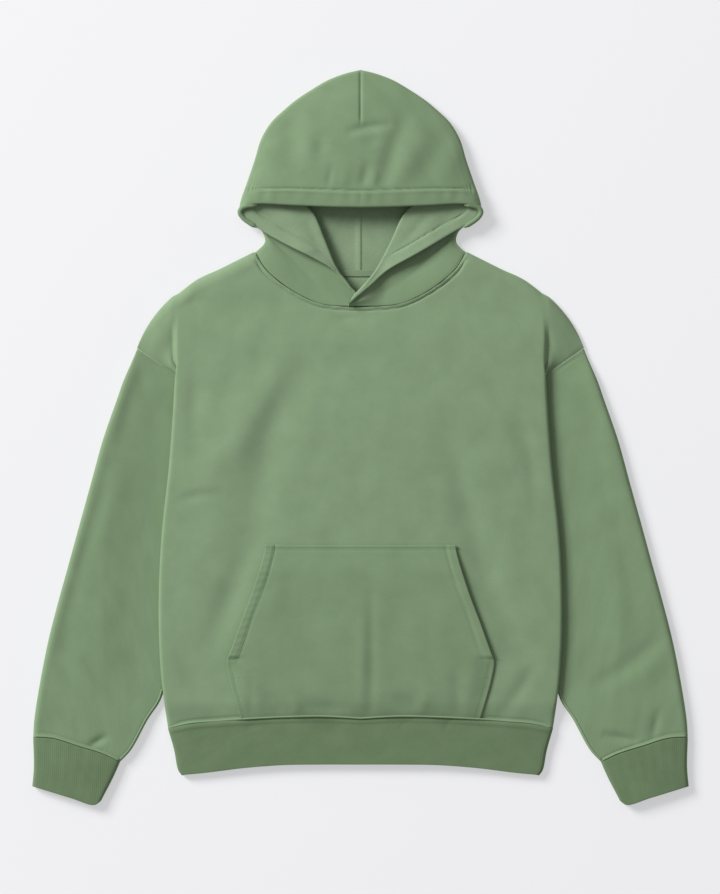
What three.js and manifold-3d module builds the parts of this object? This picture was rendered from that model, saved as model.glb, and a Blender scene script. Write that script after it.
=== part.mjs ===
// Pullover hoodie in cotton fleece, laid flat on its back with the front up.
// Millimetres. +X is towards the wearer's left, +Y towards the hood, +Z up from the surface under it.
// A table gives the wearer's left half: out is the distance from the centre line.
import * as THREE from "three";
import Module from "manifold-3d";

// Cloth
const FLEECE = 2; // wall of brushed fleece
const RIB = 3; // rib folded double
const TAPE = 1.2; // neck tape
const SEAM = 0.3; // gap between pieces that meet or lie on each other
const FLOOR_LAYER = FLEECE / 2; // middle of a fleece layer on the surface
const RIB_LAYER = RIB / 2; // middle of a rib layer on the surface
const ON_FLEECE = FLEECE + SEAM; // from the middle of one fleece layer to the next one on it

// Heights of the middle of each layer where the body folds over a sleeve
const TUCKED_SLEEVE = 5;
const UNDERARM_HEIGHT = 3.9; // the sleeve is pressed flattest at the underarm
const RETURN_LAYER = TUCKED_SLEEVE + ON_FLEECE;
const SHOULDER_EDGE = FLOOR_LAYER + ON_FLEECE;
const RETURN_RISE = 7; // length over which the return climbs from the side seam onto the sleeve
const LIP = 3; // shortest return, where the armhole seam goes under the fold
const EDGE_ROUND = 16; // distance over which the front comes down to the shoulder edge

// Where along the fold edge, from hem to shoulder, the hidden seams end
const UNDERARM_AT = 0.507;
const ARMHOLE_AT = 0.824;
const SLEEVE_LEAVES_AT = 0.075;
const FRONT_LENGTH = 570;

// Shares of a half edge at which one line of it gives way to the next one
const SHOULDER_SHARE = 0.42; // front: shoulder, then neck
const HIDDEN_SHARE = 0.78; // armhole: under the fold, then in sight
const SIDE_SEAM_SHARE = 0.5; // back: side seam, then armhole
const BACK_CAP_SHARE = 0.42; // back: past the fold edge, then shoulder
const BACK_SHOULDER_SHARE = 0.6; // back: shoulder, then neck

const FLEECE_GREEN = { color: 0x7f9475, roughness: 0.95, metalness: 0 };
const RIB_GREEN = { color: 0x6d8262, roughness: 0.95, metalness: 0 };

// Names the columns of a table.
function table(columns, rows) {
  return rows.map((row) => Object.fromEntries(columns.map((name, i) => [name, row[i]])));
}
const OUTLINE = ["out", "y"];

// Body
const FOLD_EDGE = table(OUTLINE, [
  [256.7, -389], [262, -352], [266.7, -308], [269.3, -241], [267.3, -162], [263.3, -112],
  [255.3, -41], [248.7, 50], [247.3, 86], [248.5, 136], [247.3, 187],
]);
const SIDE_SEAM = table(OUTLINE, [
  [250.5, -389], [243, -350], [231, -284], [218, -217], [205, -157], [192.7, -97],
]);
const HIDDEN_ARMHOLE = table(OUTLINE, [[192.7, -97], [206, -17], [224.7, 50], [247.3, 86]]);
const SHOWN_ARMHOLE = table(OUTLINE, [[247.3, 86], [272.7, 102], [298, 119]]);
const SHOULDER_CAP = table(OUTLINE, [[298, 119], [282, 143], [267.3, 169], [247.3, 187]]);
const SHOULDER = table(OUTLINE, [[247.3, 187], [216.7, 210], [188.7, 223], [162, 236.3], [140.7, 247]]);
const NECK_SEAM = table(OUTLINE, [
  [140.7, 247], [128.7, 225.7], [106, 205], [75.3, 186.3], [50, 177], [16.7, 173.7], [0, 173.3],
]);
const BACK_NECK = table(OUTLINE, [[140.7, 247], [114, 235], [80.7, 224.3], [40.7, 217.7], [0, 216.3]]);
const HEM_SEAM = table(OUTLINE, [
  [256.7, -389], [227.3, -382.3], [195.3, -379.7], [160.7, -377], [98, -373.8], [48.7, -373], [0, -375.7],
]);
const BACK_HEM = table(OUTLINE, [[250.5, -389], [200, -380], [98, -376], [0, -376]]);

// Height of the front's middle at its sides and at the centre line
const CROWN = table(["y", "side", "centre"], [
  [-389, 8.5, 12], [-350, 12.9, 15.5], [-250, 12.9, 18], [0, 12.9, 20], [120, 12.9, 17], [187, 12, 13.5],
]);
// The largest folds of the front, each a soft trough between two places
const BODY_TROUGHS = table(["x1", "y1", "x2", "y2", "width", "depth"], [
  [-97, 87, -131, -57, 24, 1.6],
  [-131, -57, -162, -160, 24, 2.6],
  [-162, -160, -200, -270, 22, 2.2],
  [124, -120, 160, -190, 22, 2.2],
  [160, -190, 213, -270, 22, 1.8],
  [214, -335, 190, -372, 12, 1.6],
]);

// Rows of the front's grid from hem to shoulder, close together where it folds
const FRONT_ROWS = [
  0, 0.03, 0.06, 0.09, 0.15, 0.22, 0.3, 0.39, 0.475, UNDERARM_AT, 0.57, 0.64, 0.71, 0.77, 0.8,
  ARMHOLE_AT, 0.85, 0.88, 0.915, 0.95, 0.975, 0.99, 1,
];
const FRONT_COLUMNS = 10; // of one half, from the fold edge to the centre line
const UNDER_STEPS = 4; // points of the part that is folded under
const FOLD_STEPS = 5; // points of the turn at the fold edge

// Sleeve and cuff
const SLEEVE_ROWS = [0, 0.025, 0.06, 0.11, 0.18, 0.27, 0.36, 0.45, 0.54, 0.63, 0.72, 0.8, 0.87, 0.94, 1];
const SLEEVE_LENGTH = 540;
const SLEEVE_PUFF = 5; // how much higher its middle is than its sides
const SLEEVE_SIDE = { inside: 8.5, outside: 9, atArmhole: 5.3 };
const CUFF_SIDE = 9;
const CUFF_PUFF = 2.5;
const SLEEVE_OUTSIDE = table(OUTLINE, [
  [298, 119], [304.7, 103], [316.7, 76.3], [326, 50], [344.7, -4], [359.3, -57], [374, -110],
  [388.7, -164], [403.3, -217], [416.7, -270], [427.3, -324], [435.3, -377], [436.7, -399.7],
]);
const SLEEVE_INSIDE = table(OUTLINE, [
  [192.7, -97], [214, -120], [238, -190], [254, -270], [265, -346], [284, -377], [306, -417], [320.7, -433],
]);
const CUFF_SEAM = table(OUTLINE, [
  [320.7, -433], [343.3, -422.3], [376.7, -411.7], [410, -401.5], [436.7, -399.7],
]);
const CUFF_OUTSIDE = table(OUTLINE, [[436.7, -399.7], [435.8, -439.7], [438, -465]]);
const CUFF_INSIDE = table(OUTLINE, [[320.7, -433], [330, -451.7], [346, -482.3]]);
const CUFF_END = table(OUTLINE, [[346, -482.3], [354, -490], [387.3, -480.5], [438, -465]]);

// Hem band and pocket
const BAND_HEIGHT = 61;
const BAND_SIDE = { end: 9.5, seam: 9 };
const BAND_PUFF = { end: 3, seam: 3.2 };
const HEM_SIDE = table(OUTLINE, [[238.7, -450.3], [243.3, -443.7], [248.7, -417], [256.7, -389]]);
const HEM_END = table(OUTLINE, [
  [238.7, -450.3], [209.3, -447.7], [155.3, -441], [102, -437], [48.7, -436.3], [0, -436.3],
]);
const POCKET_SIDE = table(OUTLINE, [
  [159, -377], [175, -320], [178, -297], [174, -287], [160.7, -250], [142.7, -202], [127.3, -150], [127, -143],
]);
const POCKET_TOP = table(OUTLINE, [[127, -143], [60, -143.5], [0, -143.5]]);
const POCKET_PUFF = 2.6; // how far its middle lifts off the front
const POCKET_LIFT = ON_FLEECE + 0.3; // its sewn edges over the front, clear of the folds under it
const HAND_FROM = 0.35; // from this share of its height up, its sides are hand openings
const POCKET_TROUGHS = table(["x1", "y1", "x2", "y2", "width", "depth"], [
  [15, -216, 15, -372, 11, 2],
  [-68, -362, -32, -358, 12, 1.8],
  [-130, -345, -104, -360, 12, 1.8],
  [128, -313, 128, -370, 10, 1.5],
]);

// Hood
const HOOD_OUTLINE = table(OUTLINE, [
  [0, 490], [20.7, 485], [43.3, 476.3], [66, 463], [86, 449.7], [102, 436.3], [118, 421], [132, 398],
  [140.7, 370], [150, 343], [159.3, 316.3], [162, 303],
]);
const HOOD_HEM = table(OUTLINE, [[0, 306.3], [35.3, 307], [94, 309], [135, 310.5], [153, 308]]);
const HOOD_SIDE = table(OUTLINE, [[162, 303], [146, 288], [130, 274], [127.3, 260], [136.7, 249.7], [140.7, 247]]);
const COLLAR_SIDE = table(OUTLINE, [[136, 246], [124, 260], [127, 274], [139, 288], [122, 314], [94, 330]]);
// The left panel's flap passes the centre line and lies on the right one's.
const INNER_FOLD = {
  right: table(OUTLINE, [[94, 330], [63.3, 299], [48, 262], [34, 225.7], [20.7, 206], [4, 188]]),
  left: table(OUTLINE, [[94, 330], [59.3, 299], [42, 262], [23.3, 224.3], [7.3, 203], [-12, 183]]),
};
const OPEN_EDGE = {
  right: table(OUTLINE, [
    [160, 301], [153, 289.5], [134, 276], [94, 253.5], [56.7, 235], [31.3, 220], [16.7, 204], [3, 183],
  ]),
  left: table(OUTLINE, [
    [160, 301], [153, 289.5], [123.3, 272.3], [76.7, 244.3], [36.7, 221.7], [15.3, 203], [-5, 187], [-17, 176],
  ]),
};
const NECK_END = { right: { out: 3, y: 174.3 }, left: { out: -17, y: 174.6 } };
const HOOD_HEM_HEIGHT = { centre: 30, corner: 17 };
const HOOD_EDGE_HEIGHT = { top: 9, corner: 13 };
const HOOD_PUFF = 6;
const HOOD_TROUGHS = table(["x1", "y1", "x2", "y2", "width", "depth"], [
  [44, 400, 26, 330, 16, 4.5],
  [6, 415, 38, 420, 10, 3],
  [3, 360, 6, 320, 9, 3],
  [-92, 400, -84, 350, 20, 3],
  [-52, 385, -50, 372, 12, 2.5],
  [84, 385, 76, 350, 20, 3],
]);
const COLLAR_FOLD_HEIGHT = { side: 8, centre: 12.5 };
const FLAP_LIFT = { side: 5, centre: ON_FLEECE };
const CROSSOVER_LIFT = 5.4; // the left flap over the right one
const CROSSOVER_WIDTH = 34;
const COLLAR_STEPS = 4; // from the neck seam to the inner fold, and the same on the flap
// The collar's turn down to the layer on the surface, from the collar outwards
const SIDE_TURN = table(["out", "drop"], [[1.6, 0.15], [2.6, 0.5], [1.6, 0.85], [-1, 1], [-5, 1]]);
const BACK_NECK_LENGTH = 146;
const NECK_TAPE = { halfLength: 62, width: 8.7, drop: 2 };

const wasm = await Module();
wasm.setup();

function clamp01(value) {
  return Math.min(1, Math.max(0, value));
}

function smooth(value) {
  const t = clamp01(value);
  return t * t * (3 - 2 * t);
}

function mix(a, b, t) {
  return a + (b - a) * t;
}

// Rises from 0 at both ends to 1 in the middle.
function arch(t) {
  return 4 * t * (1 - t);
}

function steps(count) {
  return Array.from({ length: count + 1 }, (_, i) => i / count);
}

// A smooth line through a table, as a function of the share of its length.
function line(rows) {
  const points = rows.map((row) => new THREE.Vector3(row.out, row.y, 0));
  const curve = new THREE.CatmullRomCurve3(points, false, "centripetal");
  curve.arcLengthDivisions = 300;
  return (t) => curve.getPointAt(clamp01(t));
}

// Two lines that meet in a corner at the given share.
function corner(first, second, share) {
  return (t) => (t < share ? first(t / share) : second((t - share) / (1 - share)));
}

function reversed(path) {
  return (t) => path(1 - t);
}

function straight(from, to) {
  return (t) => from.clone().lerp(to, t);
}

// The surface inside four lines that share corners: u runs from first to last, v from low to high.
function patch(low, high, first, last) {
  return (u, v) =>
    new THREE.Vector3()
      .addScaledVector(low(u), 1 - v)
      .addScaledVector(high(u), v)
      .addScaledVector(first(v), 1 - u)
      .addScaledVector(last(v), u)
      .addScaledVector(low(0), -(1 - u) * (1 - v))
      .addScaledVector(low(1), -u * (1 - v))
      .addScaledVector(high(0), -(1 - u) * v)
      .addScaledVector(high(1), -u * v);
}

// How deep the troughs of a table are at one place.
function troughDepth(troughs, x, y) {
  return troughs.reduce((sum, { x1, y1, x2, y2, width, depth }) => {
    const length2 = (x2 - x1) ** 2 + (y2 - y1) ** 2;
    const along = clamp01(((x - x1) * (x2 - x1) + (y - y1) * (y2 - y1)) / length2);
    const away = Math.hypot(x - mix(x1, x2, along), y - mix(y1, y2, along));
    return sum + depth * Math.exp(-((away / width) ** 2));
  }, 0);
}

function crownHeight(out, y) {
  const next = Math.max(1, CROWN.findIndex((row) => row.y >= y));
  const high = y > CROWN.at(-1).y ? CROWN.length - 1 : next;
  const [a, b] = [CROWN[high - 1], CROWN[high]];
  const t = smooth((y - a.y) / (b.y - a.y));
  const side = mix(a.side, b.side, t);
  return side + (mix(a.centre, b.centre, t) - side) * (1 - Math.min(1, out / FOLD_EDGE[3].out) ** 2);
}

// Half a turn of cloth from one layer to another one over or under it.
function halfTurn(from, to, outward, bulge, count) {
  const middle = from.clone().lerp(to, 0.5);
  const half = to.clone().sub(from).multiplyScalar(0.5);
  return steps(count)
    .slice(1, -1)
    .map((t) => {
      const angle = Math.PI * (t - 0.5);
      return middle
        .clone()
        .addScaledVector(half, Math.sin(angle))
        .addScaledVector(outward, bulge * Math.cos(angle));
    });
}

function mirrored(points) {
  return points.map((p) => new THREE.Vector3(-p.x, p.y, p.z));
}

// A row for both sides, from the wearer's right to the wearer's left, out of the half from side to centre.
function bothSides(half) {
  return [...mirrored(half), ...half.slice(0, -1).reverse()];
}

// Turns a closed mesh the right way out and makes it a solid.
function solid(positions, triangles) {
  const made = (order) =>
    new wasm.Manifold(
      new wasm.Mesh({
        numProp: 3,
        vertProperties: new Float32Array(positions),
        triVerts: new Uint32Array(order),
      }),
    );
  const first = made(triangles);
  return first.volume() > 0 ? first : made(triangles.slice().reverse());
}

// A wall of cloth whose middle runs through a grid of points, both faces half the thickness off it.
// ring joins the last column to the first one, and keep says which cells hold cloth.
class Cloth {
  constructor(grid, thickness, { ring = false, keep = () => true } = {}) {
    this.grid = grid;
    this.thickness = thickness;
    this.ring = ring;
    this.keep = keep;
    this.rows = grid.length;
    this.columns = grid[0].length;
  }

  wrap(j) {
    if (this.ring) return (j + this.columns) % this.columns;
    return Math.min(this.columns - 1, Math.max(0, j));
  }

  holds(i, j) {
    if (i < 0 || i >= this.rows - 1) return false;
    if (!this.ring && (j < 0 || j >= this.columns - 1)) return false;
    return this.keep(i, this.wrap(j));
  }

  // Half the thickness, square to the cloth at one point of the grid.
  offset(i, j) {
    const above = this.holds(i, j) || this.holds(i, j - 1) ? i + 1 : i;
    const below = this.holds(i - 1, j) || this.holds(i - 1, j - 1) ? i - 1 : i;
    const right = this.holds(i, j) || this.holds(i - 1, j) ? this.wrap(j + 1) : j;
    const left = this.holds(i, j - 1) || this.holds(i - 1, j - 1) ? this.wrap(j - 1) : j;
    const across = this.grid[i][right].clone().sub(this.grid[i][left]);
    const along = this.grid[above][j].clone().sub(this.grid[below][j]);
    return across.cross(along).normalize().multiplyScalar(this.thickness / 2);
  }

  solid() {
    const positions = [];
    const index = new Map();
    const around = [[0, 0], [-1, 0], [0, -1], [-1, -1]];
    this.grid.forEach((row, i) =>
      row.forEach((point, j) => {
        if (!around.some(([di, dj]) => this.holds(i + di, j + dj))) return;
        const offset = this.offset(i, j);
        index.set(i * this.columns + j, positions.length / 3);
        positions.push(point.x + offset.x, point.y + offset.y, point.z + offset.z);
        positions.push(point.x - offset.x, point.y - offset.y, point.z - offset.z);
      }),
    );
    const vertex = (i, j) => index.get(i * this.columns + this.wrap(j));
    const triangles = [];
    const quad = (a, b, c, d) => triangles.push(a, b, c, a, c, d);
    for (let i = 0; i < this.rows - 1; i++) {
      for (let j = 0; j < this.columns; j++) {
        if (!this.holds(i, j)) continue;
        const [a, b, c, d] = [vertex(i, j), vertex(i, j + 1), vertex(i + 1, j + 1), vertex(i + 1, j)];
        quad(a, b, c, d);
        quad(a + 1, d + 1, c + 1, b + 1);
        if (!this.holds(i - 1, j)) quad(a, a + 1, b + 1, b);
        if (!this.holds(i + 1, j)) quad(c, c + 1, d + 1, d);
        if (!this.holds(i, j - 1)) quad(d, d + 1, a + 1, a);
        if (!this.holds(i, j + 1)) quad(b, b + 1, c + 1, c);
      }
    }
    return solid(positions, triangles);
  }

  // The same wall with the seam gap added all round, which a neighbour is cut back from.
  clearance() {
    const grid = this.grid.map((row) => row.map((point) => point.clone()));
    const push = (point, from) => point.add(point.clone().sub(from).setLength(SEAM));
    grid[0].forEach((point, j) => push(point, this.grid[1][j]));
    grid.at(-1).forEach((point, j) => push(point, this.grid.at(-2)[j]));
    if (!this.ring) {
      grid.forEach((row, i) => push(row[0], this.grid[i][1]));
      grid.forEach((row, i) => push(row.at(-1), this.grid[i].at(-2)));
    }
    return new Cloth(grid, this.thickness + 2 * SEAM, this).solid();
  }
}

// A solid cut clear of its neighbours, without the slivers that a cut leaves.
function cutClear(body, neighbours) {
  const cut = neighbours.reduce((left, neighbour) => left.subtract(neighbour), body);
  return cut.decompose().sort((a, b) => b.volume() - a.volume())[0];
}

function otherSide(body) {
  return body.mirror([1, 0, 0]);
}

// One named mesh, moved to the wearer's right where side is -1.
function piece(name, body, finish, side = 1) {
  const { vertProperties, triVerts } = body.getMesh();
  const positions = Float32Array.from(vertProperties, (value, i) => (i % 3 === 0 ? side * value : value));
  const order = side < 0 ? Uint32Array.from(triVerts).reverse() : triVerts;
  const geometry = new THREE.BufferGeometry();
  geometry.setAttribute("position", new THREE.BufferAttribute(positions, 3));
  geometry.setIndex(new THREE.BufferAttribute(order, 1));
  const mesh = new THREE.Mesh(geometry, new THREE.MeshStandardMaterial(finish));
  mesh.name = name;
  return mesh;
}

const foldEdge = line(FOLD_EDGE);
const neckSeam = line(NECK_SEAM);

// How much of its full height the front keeps near the shoulder edge.
function edgeRound(distance) {
  return Math.sqrt(1 - (1 - clamp01(distance / EDGE_ROUND)) ** 2);
}

// Height of the front, which comes down to the shoulder seam and stays up along the neck.
function frontHeight(point, u, v) {
  const alongNeck = Math.max(0, u - SHOULDER_SHARE) * 100;
  const toEdge = Math.hypot((1 - v) * FRONT_LENGTH, alongNeck);
  const full = crownHeight(Math.abs(point.x), point.y);
  return mix(SHOULDER_EDGE, full, edgeRound(toEdge));
}

function neckHeight(t) {
  const point = neckSeam(t);
  return frontHeight(point, mix(SHOULDER_SHARE, 1, t), 1);
}

// Height of a sleeve's upper layer: pressed flat under the body's fold, fuller where it shows.
function sleeveHeight(point, u, v) {
  const tucked = mix(UNDERARM_HEIGHT, TUCKED_SLEEVE, smooth(v / 0.1));
  const inside = mix(tucked, SLEEVE_SIDE.inside, smooth((v - 0.72) / 0.15));
  const outside = mix(SLEEVE_SIDE.atArmhole, SLEEVE_SIDE.outside, smooth(v / 0.08));
  const edgeAt = foldEdge((point.y - FOLD_EDGE[0].y) / (FOLD_EDGE.at(-1).y - FOLD_EDGE[0].y)).x;
  const shown = smooth((point.x - edgeAt - 10) / 24);
  const puff = SLEEVE_PUFF * arch(u) * mix(0.6, 1, smooth(v / 0.1));
  return mix(inside, mix(inside, outside, u) + puff, shown);
}

// Half a row of the front: folded-under part, turn at the fold edge and top, to the centre line.
function frontHalfRow(v, top) {
  const atCap = clamp01((v - ARMHOLE_AT) / (1 - ARMHOLE_AT));
  const cap = smooth(atCap / 0.2);
  const swing = Math.PI * smooth((v - ARMHOLE_AT + 0.035) / 0.07);
  const edge = foldEdge(v);
  const topLayer = crownHeight(FOLD_EDGE[3].out, edge.y);
  const overSleeve = smooth((v - 0.025) / (SLEEVE_LEAVES_AT - 0.025));
  const underLayer = mix(FLOOR_LAYER, RETURN_LAYER, overSleeve);
  const capLayer = mix(8.4, topLayer, smooth((atCap - 0.25) / 0.4));
  const round = edgeRound((1 - v) * FRONT_LENGTH);
  const turnBulge = ((topLayer - underLayer) / 2) * 1.1;
  const inset = turnBulge + FLEECE / 2;
  const bottom = new THREE.Vector3(mix(edge.x - inset, edge.x + 3, cap), edge.y, mix(underLayer, capLayer, cap));
  const topPoints = steps(FRONT_COLUMNS).map((s) => {
    const u = mix(mix(inset, 6, cap) / edge.x, 1, s);
    const point = top(u, v);
    point.z = frontHeight(point, u, v);
    return point;
  });
  if (v > ARMHOLE_AT) bottom.z = mix(SHOULDER_EDGE, bottom.z, round);
  const start = frontStart(v, underLayer);
  if (v === ARMHOLE_AT) {
    start.set(edge.x - FLEECE / 2 - SEAM, edge.y, RETURN_LAYER);
    bottom.set(start.x, start.y, RETURN_LAYER + LIP);
  }
  return [...underPoints(start, bottom, atCap, round), ...foldPoints(bottom, topPoints[0], swing), ...topPoints];
}

// Where a row of the front starts: side seam, hidden armhole or shown armhole.
function frontStart(v, underLayer) {
  if (v < UNDERARM_AT) {
    const climb = 0.05;
    const point = line(SIDE_SEAM)(v / UNDERARM_AT);
    point.x += SEAM;
    point.z = mix(FLOOR_LAYER, underLayer, smooth((v - UNDERARM_AT + climb) / climb));
    return point;
  }
  if (v <= ARMHOLE_AT) {
    const point = line(HIDDEN_ARMHOLE)((v - UNDERARM_AT) / (ARMHOLE_AT - UNDERARM_AT));
    point.z = RETURN_LAYER;
    return point;
  }
  const share = (v - ARMHOLE_AT) / (1 - ARMHOLE_AT);
  const point = line(SHOWN_ARMHOLE)(share);
  const onSleeve = sleeveHeight(point, mix(0.45, 1, share), 0);
  point.z = Math.max(SHOULDER_EDGE, mix(onSleeve, SHOULDER_EDGE, smooth((share - 0.6) / 0.4)));
  return point;
}

// From a row's start to the fold: a climb and a flat return, or the shoulder cap past the fold edge.
function underPoints(start, bottom, atCap, round) {
  const climbed = Math.min(0.3, RETURN_RISE / start.distanceTo(bottom));
  const shares = [0, climbed, mix(climbed, 1, 0.35), mix(climbed, 1, 0.7)];
  const bow = new THREE.Vector3(15, 13.2, 0).multiplyScalar(atCap ** 2);
  return steps(UNDER_STEPS)
    .slice(0, -1)
    .map((s, k) => {
      const share = atCap > 0 ? s : shares[k];
      const point = start.clone().lerp(bottom, share);
      if (atCap > 0) point.addScaledVector(bow, share * (1 - share));
      if (atCap > 0) point.z += 3 * round * arch(share) * (1 - atCap);
      if (atCap === 0 && k > 0) point.z = bottom.z;
      return point;
    });
}

// The turn at the fold edge: half a turn over a sleeve, a soft step on the shoulder.
function foldPoints(bottom, top, swing) {
  const reach = 0.68 * Math.abs(top.z - bottom.z);
  const leave = new THREE.Vector3(Math.cos(swing), 0, Math.sin(swing)).multiplyScalar(reach);
  const handles = [
    bottom,
    bottom.clone().add(leave),
    top.clone().add(new THREE.Vector3(reach, 0, 0)),
    top,
  ];
  const curve = new THREE.CubicBezierCurve3(...handles);
  return steps(FOLD_STEPS).slice(0, -1).map((t) => curve.getPoint(t));
}

function makeFront() {
  const low = line(HEM_SEAM);
  const high = corner(line(SHOULDER), neckSeam, SHOULDER_SHARE);
  const centre = straight(low(1), high(1));
  const top = patch(low, high, foldEdge, centre);
  const grid = FRONT_ROWS.map((v) => bothSides(frontHalfRow(v, top)));
  grid.forEach((row, i) =>
    row.forEach((point, j) => {
      const fromFold = Math.min(j, row.length - 1 - j) - (UNDER_STEPS + FOLD_STEPS - 1);
      const full = FRONT_ROWS[i] < 0.97 ? smooth(fromFold / 3) : 0;
      point.z -= full * troughDepth(BODY_TROUGHS, point.x, point.y);
    }),
  );
  return new Cloth(grid, FLEECE);
}

function makeBack() {
  const armhole = corner(line(HIDDEN_ARMHOLE), line(SHOWN_ARMHOLE), HIDDEN_SHARE);
  const side = corner(line(SIDE_SEAM), armhole, SIDE_SEAM_SHARE);
  const shoulder = corner(line(SHOULDER_CAP), line(SHOULDER), BACK_CAP_SHARE);
  const high = corner(shoulder, line(BACK_NECK), BACK_SHOULDER_SHARE);
  const hem = line(BACK_HEM);
  const inside = patch(hem, high, side, straight(hem(1), high(1)));
  const grid = steps(12).map((v) =>
    bothSides(
      steps(10).map((u) => {
        const point = inside(u, v);
        point.z = FLOOR_LAYER;
        return point;
      }),
    ),
  );
  return new Cloth(grid, FLEECE);
}

// One ring of a flattened tube: upper layer outwards, a turn, lower layer inwards, a turn.
function tubeRing(across, upper, lower, wall, columns) {
  const [inner, outer] = [across(0), across(1)];
  const width = inner.distanceTo(outer);
  const bulge = (height) => (height - lower) / 2;
  const start = (bulge(upper(0)) + wall / 2) / width;
  const end = 1 - (bulge(upper(1)) + wall / 2) / width;
  const place = (u, height) => {
    const point = across(u);
    point.z = height;
    return point;
  };
  const shares = steps(columns).map((s) => mix(start, end, s));
  const front = shares.map((u) => place(u, upper(u)));
  const back = shares.map((u) => place(u, lower)).reverse();
  const towards = (from, to) => to.clone().sub(from).setZ(0).normalize();
  return [
    ...front,
    ...halfTurn(front.at(-1), back[0], towards(across(end), outer), bulge(upper(1)), 4),
    ...back,
    ...halfTurn(back.at(-1), front[0], towards(across(start), inner), bulge(upper(0)), 4),
  ];
}

function makeSleeve() {
  const armhole = corner(line(HIDDEN_ARMHOLE), line(SHOWN_ARMHOLE), HIDDEN_SHARE);
  const inside = patch(armhole, line(CUFF_SEAM), line(SLEEVE_INSIDE), line(SLEEVE_OUTSIDE));
  const grid = SLEEVE_ROWS.map((s) => {
    const v = mix((SEAM * 2) / SLEEVE_LENGTH, 1 - SEAM / SLEEVE_LENGTH, s);
    return tubeRing(
      (u) => inside(u, v),
      (u) => sleeveHeight(inside(u, v), u, v),
      FLOOR_LAYER,
      FLEECE,
      8,
    );
  });
  return new Cloth(grid, FLEECE, { ring: true });
}

function makeCuff() {
  const inside = patch(line(CUFF_SEAM), line(CUFF_END), line(CUFF_INSIDE), line(CUFF_OUTSIDE));
  const grid = [0.004, 0.33, 0.66, 1].map((v) =>
    tubeRing(
      (u) => inside(u, v),
      (u) => CUFF_SIDE + CUFF_PUFF * arch(u),
      RIB_LAYER,
      RIB,
      5,
    ),
  );
  return new Cloth(grid, RIB, { ring: true });
}

function makeHemBand() {
  const end = line(HEM_END);
  const seam = line(HEM_SEAM);
  const inside = patch(end, seam, line(HEM_SIDE), straight(end(1), seam(1)));
  const across = (v) => (share) => {
    const u = share < 0.5 ? share * 2 : (1 - share) * 2;
    const point = inside(u, v);
    if (share < 0.5) point.x *= -1;
    return point;
  };
  const grid = [0, 0.33, 0.66, 1 - (2 * SEAM) / BAND_HEIGHT].map((v) =>
    tubeRing(
      across(v),
      (u) => mix(BAND_SIDE.end, BAND_SIDE.seam, v) + mix(BAND_PUFF.end, BAND_PUFF.seam, v) * arch(u) ** 0.7,
      RIB_LAYER,
      RIB,
      20,
    ),
  );
  return new Cloth(grid, RIB, { ring: true });
}

function makePocket() {
  const low = line(HEM_SEAM.filter((row) => row.out < POCKET_SIDE[0].out + FLEECE));
  const side = line(POCKET_SIDE);
  const bottom = (u) => {
    const point = low(u);
    point.x = mix(POCKET_SIDE[0].out, 0, u);
    return point;
  };
  const inside = patch(bottom, line(POCKET_TOP), side, straight(bottom(1), line(POCKET_TOP)(1)));
  const grid = steps(12).map((v) =>
    bothSides(steps(8).map((u) => {
      const point = inside(u, v);
      const fromSewn = Math.min(1, Math.min(v, 1 - v) * 6);
      const atSide = v > HAND_FROM ? 1 : smooth(u * 6);
      point.z = crownHeight(point.x, point.y) + POCKET_LIFT + POCKET_PUFF * smooth(fromSewn) * atSide;
      return point;
    })),
  );
  grid.forEach((row, i) => row.forEach((point) => {
    const full = smooth(Math.min(i, 12 - i) / 2);
    point.z -= full * Math.min(POCKET_PUFF, troughDepth(POCKET_TROUGHS, point.x, point.y));
  }));
  return new Cloth(grid, FLEECE);
}

// The dome over the face opening, its turn at the outline and the layer on the surface.
function makeHoodShell(side) {
  const outline = line(HOOD_OUTLINE);
  const hem = line(HOOD_HEM);
  const backNeck = reversed(line(BACK_NECK));
  const shell = line(HOOD_SIDE);
  const upper = patch(hem, outline, straight(hem(0), outline(0)), straight(hem(1), outline(1)));
  const lower = patch(outline, backNeck, straight(outline(0), backNeck(0)), shell);
  const grid = steps(11).map((k) => {
    const hemHeight = mix(HOOD_HEM_HEIGHT.centre, HOOD_HEM_HEIGHT.corner, k ** 2);
    const edgeHeight = mix(HOOD_EDGE_HEIGHT.top, HOOD_EDGE_HEIGHT.corner, k);
    const bulge = (edgeHeight - FLOOR_LAYER) / 2;
    const reach = outline(k).distanceTo(hem(k));
    const inset = Math.min(0.9, (bulge + FLEECE / 2) / reach);
    const dome = steps(6).map((s) => {
      const share = s * (1 - inset);
      const point = upper(k, share);
      point.z = mix(hemHeight, edgeHeight, s ** 1.4) + HOOD_PUFF * arch(s) * (1 - k * 0.7);
      point.z -= smooth(s * 4) * smooth((1 - s) * 4) * troughDepth(HOOD_TROUGHS, side * point.x, point.y);
      return point;
    });
    const floorReach = outline(k).distanceTo(lower(k, 1));
    const floor = steps(5).map((s) => {
      const point = lower(k, mix((bulge + FLEECE / 2) / floorReach, 1 - SEAM / floorReach, s));
      point.z = FLOOR_LAYER;
      return point;
    });
    const outward = outline(k).clone().sub(upper(k, 1 - inset)).setZ(0).normalize();
    return [...dome, ...halfTurn(dome.at(-1), floor[0], outward, bulge, 5), ...floor];
  });
  return new Cloth(grid, FLEECE);
}

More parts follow.
